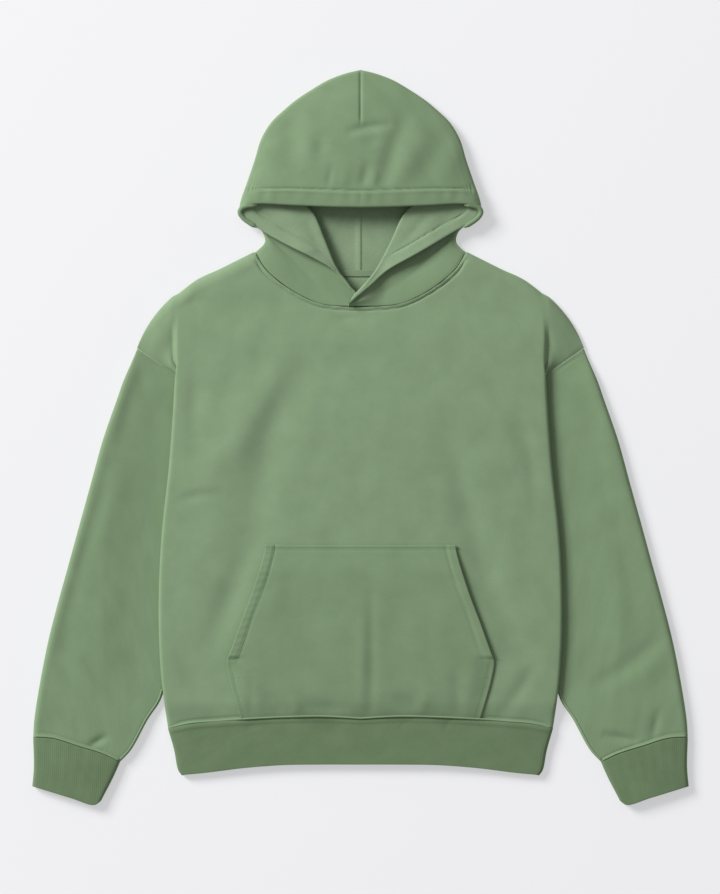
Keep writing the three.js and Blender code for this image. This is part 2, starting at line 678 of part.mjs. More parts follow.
// The collar in front of the neck and the flap folded back on it, with its turn down at the side.
function makeHoodFlap(side) {
  const hand = side < 0 ? "right" : "left";
  const neck = line([...NECK_SEAM.slice(0, -1).filter((row) => row.out > 20), NECK_END[hand]]);
  const fold = line(INNER_FOLD[hand]);
  const open = line(OPEN_EDGE[hand]);
  const collarSide = line(COLLAR_SIDE);
  const along = (u) => neck(mix(0.02, 1, u));
  const lowerPatch = patch(along, fold, collarSide, straight(along(1), fold(1)));
  const upperPatch = patch(fold, open, straight(fold(0), open(0)), straight(fold(1), open(1)));
  const rowAt = (k) => {
    const fullFold = mix(COLLAR_FOLD_HEIGHT.side, COLLAR_FOLD_HEIGHT.centre, smooth(k));
    const lift = mix(FLAP_LIFT.side, FLAP_LIFT.centre, smooth(k));
    const collar = steps(COLLAR_STEPS).map((s) => {
      const point = lowerPatch(k, mix(0.01, 0.96, s));
      point.z = mix(neckHeight(mix(0.02, 1, k)), fullFold, smooth(s * 2));
      return point;
    });
    const flap = steps(COLLAR_STEPS).map((s) => {
      const point = upperPatch(k, mix(0.04, 1, s));
      point.z = fullFold + lift;
      return point;
    });
    const inward = collar.at(-1).clone().sub(collar.at(-2)).setZ(0).normalize();
    const row = [...collar, ...halfTurn(collar.at(-1), flap[0], inward, lift / 2, 4), ...flap];
    if (side < 0) return row;
    return row.map((point) => {
      point.z += CROSSOVER_LIFT * smooth((CROSSOVER_WIDTH - point.x) / CROSSOVER_WIDTH);
      return point;
    });
  };
  const full = steps(10).map(rowAt);
  const down = SIDE_TURN.map(({ out, drop }) =>
    full[0].map((point, j) => {
      if (j > COLLAR_STEPS) return point.clone();
      return new THREE.Vector3(point.x + out, point.y, mix(point.z, FLOOR_LAYER, drop));
    }),
  );
  const grid = [...down.reverse(), ...full];
  return new Cloth(grid, FLEECE, { keep: (i, j) => i >= down.length || j < COLLAR_STEPS });
}

// Both parts of one hood panel, joined and cut off at the centre seam where it lies in it.
function joinHood(shell, flap) {
  return shell.solid().trimByPlane([1, 0, 0], SEAM / 2).add(flap.solid());
}

function makeNeckTape() {
  const grid = steps(1).map((v) =>
    bothSides(
      steps(4).map((u) => {
        const out = NECK_TAPE.halfLength * (1 - u);
        const seam = line(BACK_NECK)(1 - out / BACK_NECK_LENGTH);
        return new THREE.Vector3(
          out,
          seam.y - NECK_TAPE.drop + NECK_TAPE.width * v,
          FLEECE + SEAM + TAPE / 2,
        );
      }),
    ),
  );
  return new Cloth(grid, TAPE);
}

const front = makeFront();
const sleeve = makeSleeve();
const cuff = makeCuff();
const hemBand = makeHemBand();
const hood = { shell: [makeHoodShell(-1), makeHoodShell(1)], flap: [makeHoodFlap(-1), makeHoodFlap(1)] };
const hoodOf = (k) => joinHood(hood.shell[k], hood.flap[k]);
const backNeighbours = [
  front.clearance(),
  hemBand.clearance(),
  sleeve.clearance(),
  otherSide(sleeve.clearance()),
  hood.shell[1].clearance(),
  otherSide(hood.shell[0].clearance()),
];
const frontNeighbours = [
  hemBand.clearance(),
  hood.flap[1].clearance(),
  otherSide(hood.flap[0].clearance()),
];

const hoodie = new THREE.Group();
hoodie.name = "pullover_hoodie";
hoodie.add(
  piece("front", cutClear(front.solid(), frontNeighbours), FLEECE_GREEN),
  piece("back", cutClear(makeBack().solid(), backNeighbours), FLEECE_GREEN),
  piece("sleeve_right", sleeve.solid(), FLEECE_GREEN, -1),
  piece("sleeve_left", sleeve.solid(), FLEECE_GREEN),
  piece("cuff_right", cuff.solid(), RIB_GREEN, -1),
  piece("cuff_left", cuff.solid(), RIB_GREEN),
  piece("hem_band", hemBand.solid(), RIB_GREEN),
  piece("pocket", makePocket().solid(), FLEECE_GREEN),
  piece("hood_right", hoodOf(0), FLEECE_GREEN, -1),
  piece("hood_left", hoodOf(1), FLEECE_GREEN),
  piece("neck_tape", makeNeckTape().solid(), FLEECE_GREEN),
);

export default hoodie;
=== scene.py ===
"""A pullover hoodie in brushed cotton fleece, laid flat on its back on a pale surface.

Shapes are worked out in millimetres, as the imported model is: +X towards the wearer's left, +Y towards
the hood, +Z up from the surface. A table of an outline gives the wearer's left half, as distance from
the centre line and y.
"""

import logging
import math
from dataclasses import dataclass, field
from enum import Enum
from typing import Callable, Sequence

import bmesh
import bpy
import numpy as np
from mathutils import Matrix, Vector
from mathutils.bvhtree import BVHTree


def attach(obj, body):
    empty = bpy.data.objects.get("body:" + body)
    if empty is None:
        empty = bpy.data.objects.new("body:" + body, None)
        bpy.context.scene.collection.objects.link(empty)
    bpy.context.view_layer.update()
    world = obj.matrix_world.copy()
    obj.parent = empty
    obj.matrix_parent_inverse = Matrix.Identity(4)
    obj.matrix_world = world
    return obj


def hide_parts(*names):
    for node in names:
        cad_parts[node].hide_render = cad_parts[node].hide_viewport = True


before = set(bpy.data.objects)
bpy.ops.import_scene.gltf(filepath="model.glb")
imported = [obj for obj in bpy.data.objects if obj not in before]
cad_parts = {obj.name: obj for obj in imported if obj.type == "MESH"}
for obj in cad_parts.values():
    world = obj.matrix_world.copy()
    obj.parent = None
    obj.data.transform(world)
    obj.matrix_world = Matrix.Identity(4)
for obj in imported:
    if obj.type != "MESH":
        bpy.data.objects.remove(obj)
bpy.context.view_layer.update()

log = logging.getLogger("hoodie")

Array = np.ndarray
Line = Callable[[Array], Array]
Plan = Callable[[Array, Array], Array]
Rows = Sequence[tuple[float, float]]
Material = bpy.types.Material
Object = bpy.types.Object
Socket = bpy.types.NodeSocket
Pieces = dict[str, Object]

MM = 0.001
FLEECE = 2.0  # wall of brushed fleece
RIB = 3.0  # rib folded double
TAPE = 1.2  # neck tape
SEAM = 0.3  # gap between pieces that meet or lie on each other
FLOOR_LAYER = FLEECE / 2  # middle of a fleece layer on the surface
RIB_LAYER = RIB / 2
ON_FLEECE = FLEECE + SEAM  # from the middle of one fleece layer to the next one on it
CLOTH_MAP = "cloth"  # lengths across and along the cloth, in metres
UP = np.array([0.0, 0.0, 1.0])
ABOVE = 60.0  # height over the surface from which places on the garment are looked up
LEAST = 1e-6  # keeps a division by a length sound where the length is nothing

# How far each row of stitches lies from its seam or edge
NECK_ROWS = (1.0, 4.6)
HEM_ROW = 4.8
ARMHOLE_ROW = 5.2
CUFF_ROW = 6.2
POCKET_TOP_ROW = 6.2
POCKET_SIDE_ROW = 5.0
FLAP_ROW = 17.5


def clamp(value: Array) -> Array:
    """Value kept from 0 to 1."""
    return np.clip(value, 0.0, 1.0)


def smooth(value: Array) -> Array:
    """A soft step from 0 to 1."""
    t = clamp(value)
    return t * t * (3 - 2 * t)


def rise(value: Array, start: float, length: float) -> Array:
    """A soft step from 0 to 1 that begins at start and takes a length."""
    return smooth((value - start) / length)


def mix(a: Array, b: Array, t: Array) -> Array:
    """The value at share t of the way from a to b."""
    return a + (b - a) * t


def arch(t: Array) -> Array:
    """Rises from 0 at both ends to 1 in the middle."""
    return 4 * t * (1 - t)


def bump(distance: Array, width: float) -> Array:
    """A soft bump of height 1 whose sides fall off over the width."""
    return np.exp(-((distance / width) ** 2))


def unit(vectors: Array) -> Array:
    """The same directions with a length of 1."""
    return vectors / np.maximum(np.linalg.norm(vectors, axis=-1, keepdims=True), LEAST)


def walked(points: Array) -> Array:
    """How far along a line each of its points is."""
    return np.concatenate([[0], np.cumsum(np.linalg.norm(np.diff(points, axis=0), axis=1))])


def along(points: Array, marks: Array, at: Array) -> Array:
    """Places on a line in plan.

    Args:
        points: The line's points.
        marks: A mark for each point, which grows along the line.
        at: The marks of the places.

    Returns:
        The places, with x and y on the last axis.
    """
    return np.stack([np.interp(at, marks, points[:, k]) for k in (0, 1)], axis=-1)


def aside(points: Array, distance: float) -> Array:
    """A line in plan moved to its left by a distance."""
    ahead = unit(np.gradient(points, axis=0))
    return points + distance * np.stack([-ahead[:, 1], ahead[:, 0]], axis=1)


class SmoothLine:
    """A smooth line in plan through a few points, read by the share of its length."""

    STEPS = 40

    def __init__(self, rows: Rows) -> None:
        """Lays the line through the rows, bending least where they lie far apart.

        Args:
            rows: Its points, as x and y.
        """
        points = np.array(rows, dtype=float)
        first, last = 2 * points[0] - points[1], 2 * points[-1] - points[-2]
        ends = np.vstack([first, points, last])
        t = np.linspace(0, 1, self.STEPS, endpoint=False)[:, None]
        stretches = []
        for a, b, c, d in zip(ends, ends[1:], ends[2:], ends[3:]):
            before, gap, after = (math.sqrt(np.linalg.norm(q - p)) for p, q in ((a, b), (b, c), (c, d)))
            leave = gap * ((b - a) / before - (c - a) / (before + gap) + (c - b) / gap)
            arrive = gap * ((c - b) / gap - (d - b) / (gap + after) + (d - c) / after)
            stretches.append(
                (2 * t**3 - 3 * t**2 + 1) * b
                + (t**3 - 2 * t**2 + t) * leave
                + (3 * t**2 - 2 * t**3) * c
                + (t**3 - t**2) * arrive
            )
        self.points = np.vstack([*stretches, points[-1:]])
        lengths = walked(self.points)
        self.shares = lengths / lengths[-1]

    def __call__(self, share: Array) -> Array:
        """Points at these shares of the length, with x and y on the last axis."""
        return along(self.points, self.shares, share)


def straight(start: Array, end: Array) -> Line:
    """The straight line between two points."""
    return lambda t: mix(start, end, np.asarray(t)[..., None])


def reverse(path: Line) -> Line:
    """The same line from its other end."""
    return lambda t: path(1 - np.asarray(t))


def corner(first: Line, second: Line, share: float) -> Line:
    """Two lines that meet at a corner.

    Args:
        first: The line up to the corner.
        second: The line after it.
        share: Where the corner is on the whole line.

    Returns:
        The whole line.
    """

    def path(t: Array) -> Array:
        """Points at shares of the whole line."""
        t = np.asarray(t, dtype=float)
        before = first(clamp(t / share))
        after = second(clamp((t - share) / (1 - share)))
        return np.where((t < share)[..., None], before, after)

    return path


def patch(low: Line, high: Line, first: Line, last: Line) -> Plan:
    """The plan inside four lines that share their corners.

    Args:
        low: The line where v is 0.
        high: The line where v is 1.
        first: The line where u is 0.
        last: The line where u is 1.

    Returns:
        A function of u and v that gives points, with x and y on the last axis.
    """

    def place(u: Array, v: Array) -> Array:
        """Points at u and v."""
        u, v = np.broadcast_arrays(np.asarray(u, dtype=float), np.asarray(v, dtype=float))
        across, upward = u[..., None], v[..., None]
        ruled = mix(low(u), high(u), upward) + mix(first(v), last(v), across)
        return ruled - mix(mix(low(0.0), low(1.0), across), mix(high(0.0), high(1.0), across), upward)

    return place


def raised(plan: Array, height: Array) -> Array:
    """Points in space over a plan."""
    return np.concatenate([plan, np.broadcast_to(height, plan.shape[:-1])[..., None]], axis=-1)


def both_halves(half: Array) -> Array:
    """A grid over both halves, from the wearer's left one, whose rows run towards the centre line."""
    return np.concatenate([Side.RIGHT.place(half), half[:, -2::-1]], axis=1)


def towards(places: Array, points: Array) -> Array:
    """Directions in space, level, from points to places in plan."""
    return unit(raised(places - points[..., :2], 0.0))


def half_turn(start: Array, end: Array, outward: Array, bulge: Array, count: int) -> Array:
    """Half a turn of cloth from one layer to another.

    Args:
        start: Points where the turn begins, one a row.
        end: Points where it ends.
        outward: Directions in plan in which it stands out.
        bulge: How far it stands out.
        count: Number of steps in the turn.

    Returns:
        The points between start and end, with the steps on the second axis.
    """
    angle = math.pi * (np.arange(1, count) / count - 0.5)
    middle, half = (start + end) / 2, (end - start) / 2
    swing = np.sin(angle)[None, :, None] * half[:, None, :]
    out = np.cos(angle)[None, :, None] * (outward * np.reshape(bulge, (-1, 1)))[:, None, :]
    return middle[:, None, :] + swing + out


def cord(path: Array, height: Array, radius: Array, around: int) -> Array:
    """Rings of cloth around a line.

    Args:
        path: The line in plan.
        height: Its height at each point.
        radius: The rings' radius, or one for each point.
        around: Number of points in a ring.

    Returns:
        A grid with one ring a row.
    """
    ahead = unit(np.gradient(path, axis=0))
    across = raised(np.stack([ahead[:, 1], -ahead[:, 0]], axis=1), 0.0)
    angle = np.linspace(0, math.tau, around, endpoint=False)[None, :, None]
    ring = np.cos(angle) * across[:, None, :] + np.sin(angle) * UP
    return raised(path, height)[:, None, :] + np.reshape(radius, (-1, 1, 1)) * ring


@dataclass(frozen=True)
class Fold:
    """A soft trough along a run of points, or a ridge where its depth is negative."""

    run: tuple[tuple[float, float], ...]
    width: float
    depth: float

    END = 0.14  # share of half a wave that is left out at either end, so that a fold ends with some depth
    EVEN = 0.8  # below 1, it keeps more of its depth towards its ends

    def drop(self, x: Array, y: Array) -> Array:
        """How far the fold lowers the cloth.

        Args:
            x: The places' x.
            y: Their y.

        Returns:
            A length for each place, largest at the middle of the run.
        """
        run = np.array(self.run, dtype=float)
        marks = walked(run)
        nearest, share = np.full(np.shape(x), np.inf), np.zeros(np.shape(x))
        for (ax, ay), (dx, dy), mark, length in zip(run, unit(np.diff(run, axis=0)), marks, np.diff(marks)):
            step = np.clip((x - ax) * dx + (y - ay) * dy, 0, length)
            away = np.hypot(x - ax - step * dx, y - ay - step * dy)
            share = np.where(away < nearest, (mark + step) / marks[-1], share)
            nearest = np.minimum(away, nearest)
        strength = np.sin(math.pi * mix(self.END, 1 - self.END, share)) ** self.EVEN
        return self.depth * strength * bump(nearest, self.width)


def total_drop(folds: Sequence[Fold], x: Array, y: Array) -> Array:
    """How far all the folds together lower the cloth at each place."""
    return sum((fold.drop(x, y) for fold in folds), np.zeros(np.shape(x)))


@dataclass(frozen=True)
class Ridge:
    """A ridge beside a seam or an edge, or a groove where its height is negative."""

    height: float
    place: float
    width: float


def relief(ridges: Sequence[Ridge], distance: Array) -> Array:
    """How far the ridges raise the cloth at each distance from the seam or edge."""
    return sum(ridge.height * bump(distance - ridge.place, ridge.width) for ridge in ridges)


HEM_RIDGES = (Ridge(0.5, 1.5, 1.8), Ridge(-1.0, HEM_ROW, 1.6))
NECK_RIDGES = (Ridge(1.0, 2.0, 1.5), Ridge(-1.1, NECK_ROWS[1], 1.2))
CUFF_RIDGES = (Ridge(0.7, 2.4, 2.0), Ridge(-0.6, CUFF_ROW, 1.5))
ARMHOLE_RIDGES = (Ridge(0.5, 2.0, 1.6), Ridge(-0.7, ARMHOLE_ROW, 1.4))

# Waves of the ripple: radians a millimetre along x and along y, start and height
WAVES = ((0.071, 0.043, 0.3, 0.16), (-0.052, 0.083, 1.9, 0.14), (0.121, -0.031, 4.1, 0.1),
         (0.034, 0.139, 2.6, 0.08), (-0.173, 0.062, 0.8, 0.05), (0.094, 0.197, 5.2, 0.045))


def ripple(x: Array, y: Array) -> Array:
    """The slight unevenness of cloth that lies loose, in millimetres."""
    wander = 6 * np.sin(0.021 * x + 0.033 * y)
    return sum(size * np.sin(a * (x + wander) + b * (y - wander) + start) for a, b, start, size in WAVES)


# Outline of the wearer's left half, in millimetres
FOLD_EDGE = [(256.7, -389), (262, -352), (266.7, -308), (269.3, -241), (267.3, -162), (263.3, -112),
             (255.3, -41), (248.7, 50), (247.3, 86), (248.5, 136), (247.3, 187)]
SIDE_SEAM = [(250.5, -386.2), (243, -350), (231, -284), (218, -217), (205, -157), (192.7, -97)]
HIDDEN_ARMHOLE = [(192.7, -97), (206, -17), (224.7, 50), (247.3, 86)]
SHOWN_ARMHOLE = [(247.3, 86), (272.7, 102), (298, 119)]
SHOULDER_CAP = [(298, 119), (282, 143), (267.3, 169), (247.3, 187)]
SHOULDER = [(247.3, 187), (216.7, 210), (188.7, 223), (162, 236.3), (140.7, 247)]
NECK_SEAM = [(140.7, 247), (128.7, 225.7), (106, 205), (75.3, 186.3), (50, 177), (16.7, 173.7), (0, 173.3)]
BACK_NECK = [(140.7, 247), (114, 235), (80.7, 224.3), (40.7, 217.7), (0, 216.3)]
HEM_SEAM = [(256.7, -389), (227.3, -382.3), (195.3, -379.7), (160.7, -377), (98, -373.8),
            (48.7, -373), (0, -375.7)]
BAND_ABOVE_SEAM = 1.4  # from the hem seam to the rib band's top edge, where the back ends
BACK_HEM = [SIDE_SEAM[0], *((x, y + BAND_ABOVE_SEAM) for x, y in HEM_SEAM[1:])]
SLEEVE_OUTSIDE = [(298, 119), (304.7, 103), (316.7, 76.3), (326, 50), (344.7, -4), (359.3, -57),
                  (374, -110), (388.7, -164), (403.3, -217), (416.7, -270), (427.3, -324),
                  (435.3, -377), (436.7, -399.7)]
SLEEVE_INSIDE = [(192.7, -97), (214, -120), (238, -190), (254, -270), (265, -346), (284, -377),
                 (306, -417), (320.7, -433)]
CUFF_SEAM = [(320.7, -433), (343.3, -422.3), (376.7, -411.7), (410, -401.5), (436.7, -399.7)]
CUFF_OUTSIDE = [(436.7, -399.7), (435.8, -439.7), (438, -465)]
CUFF_INSIDE = [(320.7, -433), (330, -451.7), (346, -482.3)]
CUFF_END = [(346, -482.3), (354, -490), (387.3, -480.5), (438, -465)]
HEM_SIDE = [(238.7, -450.3), (243.3, -443.7), (248.7, -417), (256.7, -389)]
HEM_END = [(238.7, -450.3), (209.3, -447.7), (155.3, -441), (102, -437), (48.7, -436.3), (0, -436.3)]
POCKET_SIDE = [(159, -377), (175, -320), (178, -297), (174, -287), (160.7, -250), (142.7, -202),
               (127.3, -150), (127, -143)]
POCKET_TOP = [(127, -143), (60, -143.5), (0, -143.5)]

# Shares of a half edge at which one line of it gives way to the next one
SHOULDER_SHARE = 0.42
HIDDEN_SHARE = 0.78
SIDE_SEAM_SHARE = 0.5
BACK_CAP_SHARE = 0.42
BACK_SHOULDER_SHARE = 0.6
# Where along the fold edge, from hem to shoulder, the hidden seams end
UNDERARM_AT = 0.507
ARMHOLE_AT = 0.824

fold_edge = SmoothLine(FOLD_EDGE)
neck_seam = SmoothLine(NECK_SEAM)
hem_seam = SmoothLine(HEM_SEAM)
armhole = corner(SmoothLine(HIDDEN_ARMHOLE), SmoothLine(SHOWN_ARMHOLE), HIDDEN_SHARE)


def fold_edge_x(y: Array) -> Array:
    """How far out the front's folded edge is at each y."""
    low, high = FOLD_EDGE[0][1], FOLD_EDGE[-1][1]
    return fold_edge(clamp((y - low) / (high - low)))[..., 0]


class Side(Enum):
    """The wearer's sides. The wearer's left is at +X."""

    RIGHT = -1
    LEFT = 1

    @property
    def word(self) -> str:
        """The side's name as the nodes spell it."""
        return self.name.lower()

    def place(self, points: Array) -> Array:
        """Points of the wearer's left half, in plan or in space, moved to this side."""
        return np.concatenate([points[..., :1] * self.value, points[..., 1:]], axis=-1)


def linear(code: int) -> tuple[float, float, float, float]:
    """Turns a colour linear for a shader.

    Args:
        code: The colour in sRGB, as a hex number.

    Returns:
        Its linear red, green and blue, and an alpha of 1.
    """
    shares = [((code >> shift) & 255) / 255 for shift in (16, 8, 0)]
    parts = [c / 12.92 if c <= 0.04045 else ((c + 0.055) / 1.055) ** 2.4 for c in shares]
    return (*parts, 1.0)


def add(material: Material, kind: str, inputs: dict | None = None, **settings) -> bpy.types.Node:
    """Adds one shader node.

    Args:
        material: The material that gets the node.
        kind: The node's type.
        inputs: A value, or another node's output to link, for each named or numbered input.
        **settings: The node's own settings.

    Returns:
        The new node.
    """
    tree = material.node_tree
    made = tree.nodes.new(kind)
    for name, value in settings.items():
        setattr(made, name, value)
    for key, value in (inputs or {}).items():
        if isinstance(value, Socket):
            tree.links.new(value, made.inputs[key])
        else:
            made.inputs[key].default_value = value
    return made


def new_material(name: str) -> Material:
    """Makes an empty node material.

    Args:
        name: Its name.

    Returns:
        The material.
    """
    material = bpy.data.materials.new(name)
    material.use_nodes = True
    material.node_tree.nodes.clear()
    return material


def finish_surface(material: Material, inputs: dict) -> Material:
    """Gives a material its surface shader.

    Args:
        material: The material.
        inputs: The shader's inputs.

    Returns:
        The same material.
    """
    shader = add(material, "ShaderNodeBsdfPrincipled", inputs)
    add(material, "ShaderNodeOutputMaterial", {"Surface": shader.outputs["BSDF"]})
    return material


@dataclass(frozen=True)
class Knit:
    """Cotton knit. Patches of slightly different shade, a nap of fibres and rows of loops."""

    name: str
    shade: int
    light: int
    dark: int
    patch_mm: float = 34.0
    nap_mm: float = 1.9
    fibre_mm: float = 0.7
    pitch_mm: float = 1.5
    loops: float = 0.12
    nap: float = 0.5
    relief_mm: float = 0.22
    sheen: float = 0.65
    nap_share: float = 0.38  # of the nap in the shade, over the patches
    fibre_share: float = 0.3  # of the fibres in the shade
    fuzz_share: float = 0.4  # of the fibres in the relief, over the nap
    tones: tuple[float, float, float] = (0.3, 0.5, 0.7)  # where the dark, middle and light shades lie

    def make(self) -> Material:
        """Builds the material."""
        material = new_material(self.name)
        place = add(material, "ShaderNodeUVMap", uv_map=CLOTH_MAP).outputs["UV"]
        patches = self.grain(material, place, self.patch_mm, 4.0)
        nap = self.grain(material, place, self.nap_mm, 3.0)
        fibres = self.grain(material, place, self.fibre_mm, 2.0)
        soft = self.blend(material, patches, nap, self.nap_share)
        tone = self.blend(material, soft, fibres, self.fibre_share)
        ramp = add(material, "ShaderNodeValToRGB", {"Fac": tone})
        elements = ramp.color_ramp.elements
        elements.new(self.tones[1])
        for element, position, code in zip(elements, self.tones, (self.dark, self.shade, self.light)):
            element.position = position
            element.color = linear(code)
        fuzz = self.blend(material, nap, fibres, self.fuzz_share)
        surface = self.blend(material, fuzz, self.rows(material, place), self.loops)
        relief_node = add(material, "ShaderNodeBump",
                          {"Height": surface, "Strength": self.nap, "Distance": self.relief_mm * MM})
        return finish_surface(material, {
            "Base Color": ramp.outputs["Color"],
            "Roughness": 0.95,
            "Specular IOR Level": 0.2,
            "Sheen Weight": self.sheen,
            "Sheen Tint": linear(self.light),
            "Sheen Roughness": 0.4,
            "Normal": relief_node.outputs["Normal"],
        })

    def grain(self, material: Material, place: Socket, size_mm: float, detail: float) -> Socket:
        """Random grain of one size.

        Args:
            material: The material that gets it.
            place: Lengths on the cloth, in metres.
            size_mm: The grain's size.
            detail: How many finer layers it has.

        Returns:
            The grain, from 0 to 1.
        """
        noise = add(material, "ShaderNodeTexNoise",
                    {"Vector": place, "Scale": 1 / (size_mm * MM), "Detail": detail, "Roughness": 0.6})
        return noise.outputs["Fac"]

    def rows(self, material: Material, place: Socket) -> Socket:
        """Rows of loops along the cloth, drawn about twice as coarse as they are so that they show.

        Args:
            material: The material that gets them.
            place: Lengths on the cloth, in metres.

        Returns:
            The rows, from 0 to 1.
        """
        inputs = {"Vector": place, "Scale": math.tau / 20 / (self.pitch_mm * MM), "Distortion": 0.8,
                  "Detail": 1.0, "Detail Scale": 1.5}
        wave = add(material, "ShaderNodeTexWave", inputs, wave_type="BANDS", bands_direction="X")
        return wave.outputs["Fac"]

    def blend(self, material: Material, a: Socket, b: Socket, share: float) -> Socket:
        """Pattern a with a share of pattern b in it."""
        mixed = add(material, "ShaderNodeMix", {"Factor": share, "A": a, "B": b}, data_type="FLOAT")
        return mixed.outputs["Result"]


# Cotton fleece face: a matt jersey with a short nap that scatters light softly.
FLEECE_FACE = Knit("fleece_face_jersey", shade=0x819877, light=0x889F7E, dark=0x79906E)
# A darker copy of the same face: painted shade for the sleeves, the pocket and the hood, which take less
# light than the front.
FLEECE_PAINTED_SHADE = Knit("fleece_face_off_grain", shade=0x7B9271, light=0x829978, dark=0x738A68)
# Brushed back of the fleece: a longer, fluffier nap, without rows.
FLEECE_BACK = Knit("fleece_brushed_back", shade=0x859B7B, light=0x91A687, dark=0x788E6F,
                   nap_mm=2.6, loops=0.0, nap=0.7, relief_mm=0.4, sheen=0.6)
# Cotton rib: fine wales side by side, flatter and a little darker than the fleece.
RIB_KNIT = Knit("cotton_rib_knit", shade=0x6A7F5F, light=0x738868, dark=0x617656,
                pitch_mm=2.8, loops=0.45, nap=0.6, relief_mm=0.28, nap_mm=1.6)
# Cotton twill tape: flat and close.
TWILL_TAPE = Knit("cotton_twill_tape", shade=0x7F9475, light=0x899E7F, dark=0x74896A,
                  pitch_mm=1.8, loops=0.5, nap=0.4, relief_mm=0.2)
# Spun polyester sewing thread: a little smoother and brighter than the cloth around it.
SEWING_THREAD = Knit("spun_sewing_thread", shade=0x869B7C, light=0x90A586, dark=0x7B9071,
                     patch_mm=9.0, nap_mm=0.8, loops=0.0, nap=0.3, relief_mm=0.1)


@dataclass(frozen=True)
class Paper:
    """Matt white paper over a light table, so that the shadows on it stay pale."""

    name: str = "matt_white_paper"
    shade: int = 0xB0B0B2
    table_light: int = 0xFDFDFF
    glow: float = 0.465

    def make(self) -> Material:
        """Builds the material."""
        return finish_surface(new_material(self.name), {
            "Base Color": linear(self.shade), "Roughness": 0.9, "Specular IOR Level": 0.1,
            "Emission Color": linear(self.table_light), "Emission Strength": self.glow,
        })


class Finishes:
    """The finishes, each made once."""

    def __init__(self) -> None:
        """Makes every material."""
        self.face = FLEECE_FACE.make()
        # A darker copy of the face, painted shade for the pieces that take less light than the front.
        self.off_grain = FLEECE_PAINTED_SHADE.make()
        self.back = FLEECE_BACK.make()
        self.rib = RIB_KNIT.make()
        self.tape = TWILL_TAPE.make()
        self.thread = SEWING_THREAD.make()


def to_mesh(bm: bmesh.types.BMesh, mesh: bpy.types.Mesh) -> bpy.types.Mesh:
    """Writes a bmesh into a mesh and frees it.

    Args:
        bm: The bmesh.
        mesh: The mesh that takes it.

    Returns:
        The same mesh.
    """
    bm.to_mesh(mesh)
    bm.free()
    return mesh


def put(name: str, mesh: bpy.types.Mesh, *materials: Material) -> Object:
    """Puts a mesh into the scene as a smooth object.

    Args:
        name: The object's name.
        mesh: The mesh.
        *materials: Its materials.

    Returns:
        The object.
    """
    for material in materials:
        mesh.materials.append(material)
    mesh.polygons.foreach_set("use_smooth", np.ones(len(mesh.polygons), dtype=bool))
    piece = bpy.data.objects.new(name, mesh)
    bpy.context.scene.collection.objects.link(piece)
    return piece


@dataclass
class Cloth:
    """A sheet or tube of cloth whose middle runs through a grid of points."""

    name: str
    grid: Array
    wall: float
    ring: bool = False  # its last column meets its first one
    top: float = 0.5  # share of its columns at which its outside is up
    edge: float = 0.8  # rounding of its cut edges
    turned: bool = False  # the knit's rows run along its rows

    def facing(self) -> Array:
        """The grid, turned so that the cloth's outside is up at the top column."""
        row = self.grid.shape[0] // 2
        column = int(self.top * (self.grid.shape[1] - 2))
        across = self.grid[row, column + 1] - self.grid[row, column]
        along = self.grid[row + 1, column] - self.grid[row, column]
        upward = np.cross(across, along)[2] > 0
        return self.grid if upward else self.grid[:, ::-1]

    def lengths(self, grid: Array) -> Array:
        """Lengths on the cloth, measured from its middle column and its first row.

        Args:
            grid: The cloth's points.

        Returns:
            Lengths across and along it, in metres, for each point.
        """
        across = np.zeros(grid.shape[:2])
        across[:, 1:] = np.cumsum(np.linalg.norm(np.diff(grid, axis=1), axis=2), axis=1)
        across -= across[:, [grid.shape[1] // 2]]
        upward = np.zeros(grid.shape[:2])
        upward[1:] = np.cumsum(np.linalg.norm(np.diff(grid, axis=0), axis=2), axis=0)
        return np.stack([upward, across] if self.turned else [across, upward], axis=-1) * MM

    def middle(self) -> bpy.types.Mesh:
        """Makes the mesh of the cloth's middle, with the lengths on it as a map."""
        grid = self.facing()
        if self.ring:
            grid = np.concatenate([grid, grid[:, :1]], axis=1)
        rows, columns = grid.shape[:2]
        bm = bmesh.new()
        bmesh.ops.create_grid(bm, x_segments=columns - 1, y_segments=rows - 1, size=0.5)
        mesh = to_mesh(bm, bpy.data.meshes.new(self.name))
        flat = np.empty(len(mesh.vertices) * 3)
        mesh.vertices.foreach_get("co", flat)
        flat = flat.reshape(-1, 3) + 0.5
        column = np.rint(flat[:, 0] * (columns - 1)).astype(int)
        row = np.rint(flat[:, 1] * (rows - 1)).astype(int)
        mesh.vertices.foreach_set("co", (grid[row, column] * MM).ravel())
        corners = np.empty(len(mesh.loops), dtype=int)
        mesh.loops.foreach_get("vertex_index", corners)
        cloth_map = mesh.uv_layers.new(name=CLOTH_MAP)
        cloth_map.data.foreach_set("uv", self.lengths(grid)[row[corners], column[corners]].ravel())
        if self.ring:
            bm = bmesh.new()
            bm.from_mesh(mesh)
            bmesh.ops.remove_doubles(bm, verts=bm.verts, dist=0.002 * MM)
            to_mesh(bm, mesh)
        return mesh

    def build(self, outside: Material, inside: Material) -> Object:
        """Makes the cloth with its thickness and soft edges.

        Args:
            outside: The finish of its outer face.
            inside: The finish of its inner face.

        Returns:
            The finished object.
        """
        piece = put(self.name, self.middle(), outside, inside)
        wall = piece.modifiers.new("wall", "SOLIDIFY")
        wall.thickness = self.wall * MM
        wall.offset = 0.0
        wall.use_quality_normals = True
        wall.material_offset = 1
        edges = piece.modifiers.new("soft_edges", "BEVEL")
        edges.limit_method = "ANGLE"
        edges.angle_limit = math.radians(60)
        edges.width = self.edge * MM
        edges.segments = 2
        return piece


